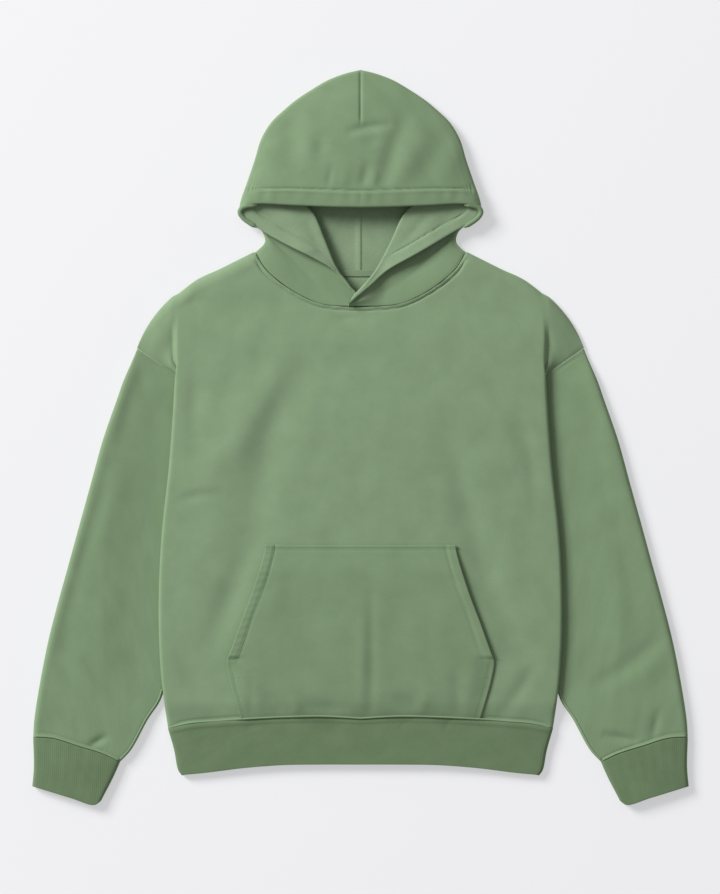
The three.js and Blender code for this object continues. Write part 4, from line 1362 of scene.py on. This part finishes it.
@dataclass
class Hood:
    """The hood: two panels, each a dome over the face opening and a flap folded out at the neck."""

    body: Body
    hem_centre: float = 27.5  # height of the dome at its hem, at the centre and at the corners
    hem_corner: float = 19.5
    edge_top: float = 9.0  # and at its outline, at the top and at the corners
    edge_corner: float = 13.0
    puff: float = 2.5
    fold_side: float = 6.5  # height of the collar's fold, at the side and at the neck's middle
    fold_centre: float = 12.5
    lift_side: float = 6.5  # how far the flap lies above it, at the side and at the middle
    lift_centre: float = 4.4
    crossover_lift: float = 7.0  # how far the left flap is raised where it crosses the right one
    crossover_width: float = 34.0
    hem_width: float = 22.0
    hem_y: tuple[float, float] = (305.2, 308.6)  # y of its hem at the centre and from hem_level on
    hem_level: float = 94.0
    flap_hem: float = 19.0
    flap_fold: float = 16.0  # width of the allowance folded under at the flap's edge
    lip_centre: float = 1.7  # radius of the turn of a hem, at the centre and at the corners
    lip_corner: float = 1.05
    lip_lift: float = 5.5  # how far the flap's open edge stands up
    roll: float = 2.3  # radius of the rolled edge at the corner
    side_bulge: float = 2.6  # how far the collar's turn at the side stands out
    seam_groove: float = 1.9  # depth of the centre seam on top
    groove_from: tuple[float, float] = (412.0, 16.0)  # y at which it begins, and the length it takes
    folds_from: tuple[float, float] = (326.0, 16.0)
    allowance_to: tuple[float, float] = (290.0, 40.0)
    neck_start: float = 0.02  # share of the neck seam at which the collar begins
    inner_allowance: float = 1.2  # height of the seam allowance pressed to one side, inside
    allowance_width: float = 9.0
    rows: int = 76
    hem_columns: int = 10
    dome_columns: int = 72
    floor_columns: int = 40
    flap_rows: int = 80
    collar_columns: int = 26
    folds: tuple[Fold, ...] = (
        Fold(((-13, 407), (10, 413), (34, 415)), 6, 2.6),
        Fold(((14, 402), (16, 384)), 12, 1.8),
        Fold(((57, 419), (43, 384), (31, 336)), 13, 3.1),
        Fold(((81, 400), (63, 364), (47, 340)), 13, -1.2),
        Fold(((113, 399), (93, 364), (74, 340)), 17, 2.2),
        Fold(((37, 444), (77, 428), (111, 396)), 10, 1.3),
        Fold(((44, 462), (92, 440), (126, 404)), 12, -0.9),
        Fold(((-93, 412), (-93, 375), (-82, 352)), 17, 2.4),
        Fold(((-72, 400), (-68, 360)), 12, -0.9),
        Fold(((-53, 394), (-53, 374)), 9, 1.4),
        Fold(((-39, 357), (-43, 333)), 5, 1.2),
        Fold(((9, 361), (2, 330)), 7, 1.8),
        Fold(((20, 352), (17, 330)), 5, -0.8),
        Fold(((-20, 350), (-24, 330)), 7, -0.7),
    )
    collar_folds: dict[Side, tuple[Fold, ...]] = field(
        default_factory=lambda: {
            Side.RIGHT: (
                Fold(((134, 296), (112, 286), (90, 262)), 10, 1.3),
                Fold(((104, 304), (84, 290)), 9, -1.0),
                Fold(((70, 284), (52, 246)), 6, 0.9),
            ),
            Side.LEFT: (
                Fold(((128, 296), (104, 282)), 9, 1.2),
                Fold(((96, 304), (72, 276), (54, 252)), 7, 1.0),
                Fold(((140, 300), (124, 292)), 7, -0.8),
            ),
        }
    )

    def half_shell(self, side: Side) -> Array:
        """One side's hem, dome, turn at the outline and layer on the surface.

        Args:
            side: The side, because only one has the centre seam's allowance.

        Returns:
            A grid of points, with rows from the centre outwards, on the wearer's left.
        """
        t = np.linspace(0, 1, self.rows)
        k = t * mix(0.5, 1, t)
        outline, hem = SmoothLine(HOOD_OUTLINE), SmoothLine(HOOD_HEM)
        upper = patch(hem, outline, straight(hem(0.0), outline(0.0)), straight(hem(1.0), outline(1.0)))
        bulge = (mix(self.edge_top, self.edge_corner, k) - FLOOR_LAYER) / 2
        lip = mix(self.lip_centre, self.lip_corner, k**2)
        reach = np.linalg.norm(outline(k) - hem(k), axis=1)
        first = np.minimum(0.3, (lip + FLEECE / 2) / reach)
        last = 1 - np.minimum(0.9, (bulge + FLEECE / 2) / reach)
        folded = np.minimum(self.hem_width - 3, 0.5 * reach) / reach

        def layer(start: Array, end: Array, columns: int) -> Array:
            """The dome's middle over shares of the way from hem to outline."""
            shares = mix(start[:, None], end[:, None], np.linspace(0, 1, columns))
            return self.dome_points(upper(k[:, None], shares), side, k[:, None], shares)

        inner = layer(first + folded, first, self.hem_columns)
        inner[..., 2] -= 2 * lip[:, None]
        dome = layer(first, last, self.dome_columns)
        floor = self.floor_layer(k, bulge, side)
        hem_turn = half_turn(inner[:, -1], dome[:, 0], towards(hem(k), dome[:, 0]), lip, 7)
        turn = half_turn(dome[:, -1], floor[:, 0], towards(outline(k), dome[:, -1]), bulge, 8)
        grid = np.concatenate([inner, hem_turn, dome, turn, floor], axis=1)
        grid[0, :, 0] = 0
        return grid

    def floor_layer(self, k: Array, bulge: Array, side: Side) -> Array:
        """One side's layer on the surface, from the turn at the outline to the back neck seam.

        Args:
            k: Shares of its rows from the centre to the corner.
            bulge: How far the turn stands out, for each row.
            side: The side.

        Returns:
            A grid of points on the wearer's left.
        """
        outline, neck = SmoothLine(HOOD_OUTLINE), reverse(SmoothLine(BACK_NECK))
        lower = patch(outline, neck, straight(outline(0.0), neck(0.0)), SmoothLine(HOOD_SIDE))
        reach = np.linalg.norm(outline(k) - lower(k, np.ones(k.shape)), axis=1)
        shares = mix(((bulge + FLEECE / 2) / reach)[:, None], (1 - SEAM / reach)[:, None],
                     np.linspace(0, 1, self.floor_columns))
        plan = lower(k[:, None], shares)
        allowance = self.inner_allowance if side is Side.RIGHT else 0.0
        ridge = allowance * (1 - rise(plan[..., 0], 0, self.allowance_width))
        return raised(plan, FLOOR_LAYER + ridge * (1 - rise(plan[..., 1], *self.allowance_to)))

    def dome_points(self, plan: Array, side: Side, k: Array, s: Array) -> Array:
        """The dome's middle over a plan, with its folds, its centre seam and its hem.

        Args:
            plan: Places on the wearer's left half.
            side: The side it is for, because the folds of the two sides differ.
            k: Shares from the centre to the corner.
            s: Shares from the hem to the outline.

        Returns:
            Points in space.
        """
        z = mix(mix(self.hem_centre, self.hem_corner, k**2), mix(self.edge_top, self.edge_corner, k), s**1.9)
        z = z + self.puff * arch(s) * (1 - k * 0.7)
        x, y = side.value * plan[..., 0], plan[..., 1]
        loose = rise(y, *self.folds_from) * smooth((1 - s) * 5)
        z = z - loose * (total_drop(self.folds, x, y) - ripple(x, y))
        return raised(plan, z + self.dome_seams(plan, k))

    def dome_seams(self, plan: Array, k: Array) -> Array:
        """The groove of the centre seam and the doubled hem with its stitch line.

        Args:
            plan: Places on the wearer's left half.
            k: Their shares from the centre to the corner.

        Returns:
            How far each place is raised.
        """
        x, y = plan[..., 0], plan[..., 1]
        seam = -self.seam_groove * bump(x, 1.7) * rise(y, *self.groove_from)
        above_hem = y - mix(*self.hem_y, clamp(x / self.hem_level))
        double = 1.1 * smooth((self.hem_width - above_hem) / 2.5)
        line = relief([Ridge(-1.2, self.hem_width, 1.5), Ridge(0.6, self.hem_width - 3, 2)], above_hem)
        uneven = np.sin(0.21 * x + 1.9 * np.sin(0.047 * x)) * np.sin(0.083 * x + 0.7)
        puckers = 0.45 * uneven * bump(above_hem - 13, 8)
        return seam + smooth((1 - k) * 12) * (double + line + puckers)

    def shell_grid(self) -> Array:
        """Both panels joined at the centre seam, from the wearer's right corner to the left one."""
        right, left = (side.place(self.half_shell(side)) for side in Side)
        return np.concatenate([right[::-1], left[1:]])

    def corner_roll(self, side: Side) -> Array:
        """The rolled edge at the corner, where the dome's hem turns round into the flap's open edge.

        Args:
            side: Its side.

        Returns:
            A grid of rings.
        """
        t = np.linspace(0, 1, 36)
        height = mix(self.hem_corner, self.fold_side + self.lift_side + 1, smooth(t * 1.4))
        radius = self.roll * np.clip(arch(t) * 3, 0.35, 1)
        return side.place(cord(SmoothLine(CORNER_ROLL)(t), height, radius, 16))

    def fold_height(self, k: Array) -> Array:
        """Height of the collar's fold at shares of it from the side to the neck's middle."""
        return mix(self.fold_side, self.fold_centre, smooth(k))

    def lift(self, k: Array) -> Array:
        """How far the flap lies above the collar at the fold."""
        return mix(self.lift_side, self.lift_centre, smooth(k))

    def collar(self, side: Side, k: Array) -> Array:
        """The collar in front of the neck, from the neck seam to the fold.

        Args:
            side: Its side.
            k: Shares of its rows from the side to the neck's middle.

        Returns:
            A grid of points on the wearer's left.
        """
        neck = SmoothLine([row for row in NECK_SEAM[:-1] if row[0] > 20] + [NECK_END[side]])
        fold = SmoothLine(INNER_FOLD[side])

        def low(u: Array) -> Array:
            """Points of the neck seam from the collar's start."""
            return neck(mix(self.neck_start, 1, np.asarray(u)))

        side_line = SmoothLine([tuple(low(0.0)), *COLLAR_SIDE[1:]])
        plan = patch(low, fold, side_line, straight(low(1.0), fold(1.0)))
        s = np.linspace(0, 1, self.collar_columns)[None, :]
        neck_z = self.body.neck_height(mix(self.neck_start, 1, k))
        z = mix(neck_z[:, None], self.fold_height(k)[:, None], smooth(s * 2))
        return raised(plan(k[:, None], mix(0.01, 0.96, s)), z)

    def flap(self, side: Side, k: Array) -> tuple[Array, Array]:
        """The flap that is folded back over the collar.

        Args:
            side: Its side.
            k: Shares of its rows from the side to the neck's middle.

        Returns:
            Grids of the flap and of the allowance that is folded under at its open edge.
        """
        fold, edge = SmoothLine(INNER_FOLD[side]), SmoothLine(OPEN_EDGE[side])
        plan = patch(fold, edge, straight(fold(0.0), edge(0.0)), straight(fold(1.0), edge(1.0)))
        width = np.linalg.norm(fold(k) - edge(k), axis=1)[:, None]
        last = 1 - (self.lip_corner + FLEECE / 2) / np.maximum(width, 8)
        shares = mix(0.04, last, np.linspace(0, 1, self.collar_columns))
        under_shares = last - np.minimum(self.flap_fold / width, 0.5) * np.linspace(0, 1, 7)[1:]
        over, under = (plan(k[:, None], s) for s in (shares, under_shares))
        inward = (1 - shares) * width
        hem = 0.9 * smooth((self.flap_hem - inward) / 2) + relief([Ridge(-1.1, self.flap_hem, 1.5)], inward)
        lip = (self.lip_lift * np.sin(math.pi * clamp(1.15 * k - 0.1)) ** 2)[:, None]
        z = (self.fold_height(k) + self.lift(k))[:, None] + lip * shares**1.5 + rise(width, 24, 10) * hem
        z = z - total_drop(self.collar_folds[side], over[..., 0], over[..., 1])
        under_z = z[:, -1:] - 2 * self.lip_corner - 0.5 * lip * (1 - under_shares**1.5)
        return raised(over, z), raised(under, under_z)

    def flap_grid(self, side: Side) -> Array:
        """One side's collar in front of the neck, the flap folded back on it and the flap's hem.

        Args:
            side: The side. The left one lies over the right one where they cross.

        Returns:
            A grid of points on the wearer's left.
        """
        k = np.linspace(0, 1, self.flap_rows)
        fold, edge = SmoothLine(INNER_FOLD[side])(k), SmoothLine(OPEN_EDGE[side])(k)
        collar = self.collar(side, k)
        over, under = self.flap(side, k)
        turn = half_turn(collar[:, -1], over[:, 0], towards(fold, collar[:, -2]), self.lift(k) / 2, 8)
        lip = np.full(k.shape, self.lip_corner)
        hem_turn = half_turn(over[:, -1], under[:, 0], towards(edge, over[:, -1]), lip, 6)
        grid = np.concatenate([collar, turn, over, hem_turn, under], axis=1)
        if side is Side.LEFT:
            crossing = 1 - rise(grid[..., 0], 0, self.crossover_width)
            from_neck = smooth(2.5 * np.arange(grid.shape[1]) / (self.collar_columns - 1))
            grid[..., 2] += crossing * mix(ON_FLEECE, self.crossover_lift, from_neck)
        return grid

    def side_turn(self, flap: Array) -> Array:
        """The collar's turn at the side, down to the layer on the surface.

        Args:
            flap: The grid whose first row it continues.

        Returns:
            A grid of points on the wearer's left.
        """
        top = flap[0, : self.collar_columns]
        angle = math.pi * (np.linspace(0, 1, 9)[:, None] - 0.5)
        grid = np.repeat(top[None], len(angle), axis=0)
        grid[..., 0] += self.side_bulge * np.cos(angle)
        grid[..., 2] = mix(grid[..., 2], FLOOR_LAYER + ON_FLEECE, (np.sin(angle) + 1) / 2)
        return grid

    def build(self, finishes: Finishes) -> Pieces:
        """Makes both panels of the hood.

        Args:
            finishes: The finishes to dress them in.

        Returns:
            The pieces by name.
        """
        made = {}
        # The hood's pieces take the darker copy of the fleece on their outer faces: painted shade.
        dome = Cloth("hood_dome", self.shell_grid(), FLEECE, top=0.3, turned=True)
        made["dome"] = dress(dome.build(finishes.off_grain, finishes.back), "fleece",
                             "hood_right", "hood_left")
        for side in Side:
            word = side.word
            flap_grid = self.flap_grid(side)
            cloths = {
                "flap": Cloth(f"hood_{word}_flap", side.place(flap_grid), FLEECE, top=0.1),
                "side": Cloth(f"hood_{word}_collar_side", side.place(self.side_turn(flap_grid)), FLEECE),
                "roll": Cloth(f"hood_{word}_corner_roll", self.corner_roll(side), FLEECE, ring=True, top=0.3),
            }
            for part, cloth in cloths.items():
                # Outer face in the darker copy of the fleece: painted shade.
                piece = cloth.build(finishes.off_grain, finishes.back)
                made[f"{part}_{word}"] = dress(piece, "fleece", f"hood_{word}")
        return made


@dataclass
class NeckTape:
    """The narrow tape over the back neck seam, inside."""

    half_length: float = 62.0
    width: float = 8.7
    drop: float = 2.0  # how far it reaches below the seam
    rows: int = 8
    columns: int = 60

    def build(self, finishes: Finishes) -> Object:
        """Makes the tape.

        Args:
            finishes: The finishes to dress it in.

        Returns:
            The finished tape.
        """
        neck = SmoothLine(BACK_NECK).points[::-1]
        x = np.linspace(-self.half_length, self.half_length, self.columns)
        y = np.interp(np.abs(x), neck[:, 0], neck[:, 1])
        step = np.linspace(0, self.width, self.rows)[:, None] - self.drop
        plan = np.stack([np.broadcast_to(x, (self.rows, self.columns)), y + step], axis=-1)
        cloth = Cloth("back_neck_tape", raised(plan, FLEECE + SEAM + TAPE / 2), TAPE, edge=0.4)
        return dress(cloth.build(finishes.tape, finishes.tape), "tape", "neck_tape")


def surface_of(piece: Object) -> BVHTree:
    """A piece's finished surface, on which places can be looked up."""
    bpy.context.view_layer.update()
    return BVHTree.FromObject(piece, bpy.context.evaluated_depsgraph_get())


def from_above(surface: BVHTree, x: float, y: float) -> tuple[Vector | None, Vector | None]:
    """The highest place of a surface at x and y, in metres, and its direction, or None where it has none."""
    return surface.ray_cast(Vector((x, y, ABOVE)) * MM, Vector((0, 0, -1)))[:2]


@dataclass
class Stitching:
    """Rows of stitches. Each stitch is a bead of thread that lies half sunk in the cloth."""

    length: float = 2.7
    width: float = 0.8
    pitch: float = 3.4

    def row(self, bm: bmesh.types.BMesh, surface: BVHTree, path: Array) -> None:
        """Adds one row of stitches.

        Args:
            bm: The mesh that gets them.
            surface: The cloth they lie on.
            path: The row's line in plan.
        """
        marks = walked(path)
        at = np.arange(self.pitch / 2, marks[-1], self.pitch)
        places = along(path, marks, at)
        half = Vector((self.length, self.width, self.width)) / 2 * MM
        for (x, y), ahead in zip(places, along(path, marks, at + 0.5) - places):
            place, up = from_above(surface, x, y)
            if place is None:
                continue
            way = Vector((*ahead, 0)).normalized()
            way = (way - up * way.dot(up)).normalized()
            turned = Matrix((way, up.cross(way), up)).transposed().to_4x4()
            bead = Matrix.Translation(place) @ turned @ Matrix.Diagonal((*half, 1))
            bmesh.ops.create_uvsphere(bm, u_segments=6, v_segments=4, radius=1, matrix=bead)

    def build(self, name: str, carrier: Object, paths: Sequence[Array], finishes: Finishes) -> Object:
        """Sews rows on the piece that carries them.

        Args:
            name: The rows' name.
            carrier: The piece they are sewn on.
            paths: The rows' lines in plan.
            finishes: The finishes.

        Returns:
            The finished stitches as one object.
        """
        surface, bm = surface_of(carrier), bmesh.new()
        for path in paths:
            self.row(bm, surface, path)
        mesh = to_mesh(bm, bpy.data.meshes.new(name))
        mesh.uv_layers.new(name=CLOTH_MAP)
        return dress(put(name, mesh, finishes.thread), "fleece")


@dataclass
class SeamRoll:
    """The seam allowance that rolls up as a thin cord beside a seam between fleece and rib."""

    radius: float = 1.2
    wall: float = 0.8
    around: int = 10
    step: float = 2.4
    even: int = 7  # places over which its height is evened out
    clear: float = 0.1  # how far its middle is above the cloth

    def heights(self, carriers: Sequence[Object], path: Array) -> Array:
        """Top of the pieces along a line in plan. Where the line misses them, its nearest place counts.

        Args:
            carriers: The pieces it lies on.
            path: The line in plan.

        Returns:
            A height for each point of the line, evened out along it.
        """
        surfaces = [surface_of(carrier) for carrier in carriers]
        tops = {}
        for index, (x, y) in enumerate(path):
            hits = [from_above(surface, x, y)[0] for surface in surfaces]
            if any(hits):
                tops[index] = max(hit.z for hit in hits if hit) / MM
        level = np.interp(np.arange(len(path)), list(tops), list(tops.values()))
        padded = np.pad(level, self.even // 2, mode="edge")
        return np.convolve(padded, np.full(self.even, 1 / self.even), mode="valid")

    def build(self, name: str, carriers: Sequence[Object], path: Array, finishes: Finishes) -> Object:
        """Makes one roll.

        Args:
            name: Its name.
            carriers: The pieces it lies on.
            path: Its line in plan.
            finishes: The finishes.

        Returns:
            The finished roll.
        """
        marks = walked(path)
        centre = along(path, marks, np.linspace(0, marks[-1], int(marks[-1] / self.step)))
        height = self.heights(carriers, centre) + self.clear
        grid = cord(centre, height, self.radius - self.wall / 2, self.around)
        cloth = Cloth(name, grid, self.wall, ring=True, edge=0.2)
        return dress(cloth.build(finishes.face, finishes.back), "fleece")


@dataclass
class Seams:
    """The stitches and the rolled seam allowances that show."""

    pieces: Pieces
    finishes: Finishes
    opening_end: float = -300.0  # y at which the row beside a hand opening ends
    pocket_corner: float = -314.0  # y at which the row below it begins
    bar: tuple[tuple[float, float], ...] = ((153.0, -319.5), (173.5, -319.5))
    hood_reach: float = 146.0  # how far out the row of the hood's hem goes
    flap_ends: tuple[int, int] = (30, 190)  # the points of the edge line between which its row runs
    armhole_end: int = 8  # points of the armhole that its row leaves free beside the fold
    roll_ends: int = 6  # points of a seam line that its roll leaves free
    roll_aside: float = 1.5  # from the seam to the middle of its roll
    underarm_aside: float = 2.6
    underarm_top: float = -336.0

    def sew(self) -> None:
        """Sews the rows of stitches."""
        neck, hem = neck_seam.points, hem_seam.points
        side, top = SmoothLine(POCKET_SIDE).points, SmoothLine(POCKET_TOP).points
        opening, lower = side[side[:, 1] > self.opening_end], side[side[:, 1] < self.pocket_corner]
        hood_hem = SmoothLine(HOOD_HEM).points + [0, Hood.hem_width]
        rows = {
            "neck": ("front", [aside(neck, distance) for distance in NECK_ROWS]),
            "hem": ("front", [aside(hem, -HEM_ROW)]),
            "pocket": ("pocket", [aside(opening, Pocket.hem_width), aside(lower, POCKET_SIDE_ROW),
                                  np.array(self.bar), top - [0, POCKET_TOP_ROW]]),
            "hood_hem": ("dome", [hood_hem[hood_hem[:, 0] < self.hood_reach]]),
        }
        for name, (carrier, paths) in rows.items():
            self.sew_on(name, carrier, [way.place(path) for path in paths for way in Side])
        shown = aside(SmoothLine(SHOWN_ARMHOLE).points, -ARMHOLE_ROW)[self.armhole_end :]
        cuff = aside(SmoothLine(CUFF_SEAM).points, CUFF_ROW)
        for way in Side:
            flap, sleeve = f"flap_{way.word}", f"sleeve_{way.word}"
            edge = aside(SmoothLine(OPEN_EDGE[way]).points, -FLAP_ROW)[slice(*self.flap_ends)]
            self.sew_on(flap, flap, [way.place(edge)])
            self.sew_on(sleeve, sleeve, [way.place(shown), way.place(cuff)])

    def sew_on(self, name: str, carrier: str, paths: Sequence[Array]) -> None:
        """Sews rows along lines in plan on one piece."""
        Stitching().build(f"{name}_stitches", self.pieces[carrier], paths, self.finishes)

    def roll(self) -> None:
        """Rolls the seam allowances at the hem, the cuffs and the lower underarm seams."""
        half = aside(hem_seam.points, -self.roll_aside)[self.roll_ends :]
        whole = np.concatenate([Side.RIGHT.place(half), half[-2::-1]])
        self.roll_along("hem", whole, "front", "pocket")
        cuff = aside(SmoothLine(CUFF_SEAM).points, self.roll_aside)[self.roll_ends : -self.roll_ends]
        underarm = aside(SmoothLine(SLEEVE_INSIDE).points, self.underarm_aside)
        underarm = underarm[underarm[:, 1] < self.underarm_top][: -self.roll_ends]
        for side in Side:
            for name, path in (("cuff", cuff), ("sleeve", underarm)):
                self.roll_along(f"{name}_{side.word}", side.place(path), f"sleeve_{side.word}")

    def roll_along(self, name: str, path: Array, *carriers: str) -> None:
        """Makes one roll along a line in plan and adds it to the pieces."""
        carried_by = [self.pieces[carrier] for carrier in carriers]
        self.pieces[f"roll_{name}"] = SeamRoll().build(f"{name}_seam_roll", carried_by, path, self.finishes)


@dataclass
class Studio:
    """Pale floor, soft light from the upper left and a camera straight above."""

    px_mm: float = 4 / 3  # size of one pixel of the picture
    picture: tuple[int, int] = (720, 894)
    look_at: tuple[float, float] = (-0.67, -13.0)
    plane_height: float = 8.0  # height at which the picture's scale is true
    distance: float = 6000.0
    sensor_mm: float = 24.0
    key_azimuth: float = 144.0
    key_elevation: float = 31.0
    key_distance: float = 12.0
    key_size: float = 4.6
    key_power: float = 1800.0
    sky: float = 0.33
    floor_half: float = 6.0  # in metres, as the key light's distance and size
    floor_drop: float = 0.3

    def floor(self) -> None:
        """Lays the floor."""
        bm = bmesh.new()
        bmesh.ops.create_grid(bm, x_segments=1, y_segments=1, size=self.floor_half)
        bmesh.ops.translate(bm, verts=bm.verts, vec=(0, 0, -self.floor_drop * MM))
        mesh = to_mesh(bm, bpy.data.meshes.new("paper_floor"))
        put("paper_floor", mesh, Paper().make())

    def key_light(self) -> None:
        """Adds the key light, so far off and so large that it falls off little and its shadows are soft."""
        lamp = bpy.data.lights.new("key_light", "AREA")
        lamp.size = self.key_size
        lamp.energy = self.key_power
        stand = bpy.data.objects.new("key_light", lamp)
        turn, rise = math.radians(self.key_azimuth), math.radians(self.key_elevation)
        way = Vector((math.cos(turn) * math.cos(rise), math.sin(turn) * math.cos(rise), math.sin(rise)))
        stand.location = way * self.key_distance
        stand.rotation_euler = (-way).to_track_quat("-Z", "Y").to_euler()
        bpy.context.scene.collection.objects.link(stand)

    def camera(self) -> None:
        """Sets the camera straight above, framed as the photograph."""
        data = bpy.data.cameras.new("camera")
        data.type = "PERSP"
        data.sensor_fit = "VERTICAL"
        data.sensor_height = self.sensor_mm
        data.lens = self.sensor_mm * (self.distance - self.plane_height) / (self.picture[1] * self.px_mm)
        camera = bpy.data.objects.new("camera", data)
        camera.location = (self.look_at[0] * MM, self.look_at[1] * MM, self.distance * MM)
        bpy.context.scene.collection.objects.link(camera)
        bpy.context.scene.camera = camera

    def build(self) -> None:
        """Sets up floor, lights, camera and view."""
        self.floor()
        self.key_light()
        world = bpy.data.worlds.new("studio")
        world.use_nodes = True
        sky = world.node_tree.nodes["Background"]
        sky.inputs["Color"].default_value = linear(0xFFFFFF)
        sky.inputs["Strength"].default_value = self.sky
        scene = bpy.context.scene
        scene.world = world
        scene.view_settings.view_transform = "Standard"
        scene.view_settings.look = "None"
        self.camera()


def main() -> None:
    """Builds the garment and the studio."""
    logging.basicConfig(level=logging.INFO, format="%(message)s")
    Studio().build()
    finishes = Finishes()
    body = Body()
    pieces = body.build(finishes)
    pieces |= Sleeves(body).build(finishes)
    pieces["hem_band"] = HemBand().build(finishes)
    pieces["pocket"] = Pocket(body).build(finishes)
    pieces |= Hood(body).build(finishes)
    pieces["neck_tape"] = NeckTape().build(finishes)
    seams = Seams(pieces, finishes)
    seams.sew()
    seams.roll()


if __name__ == "__main__":
    main()
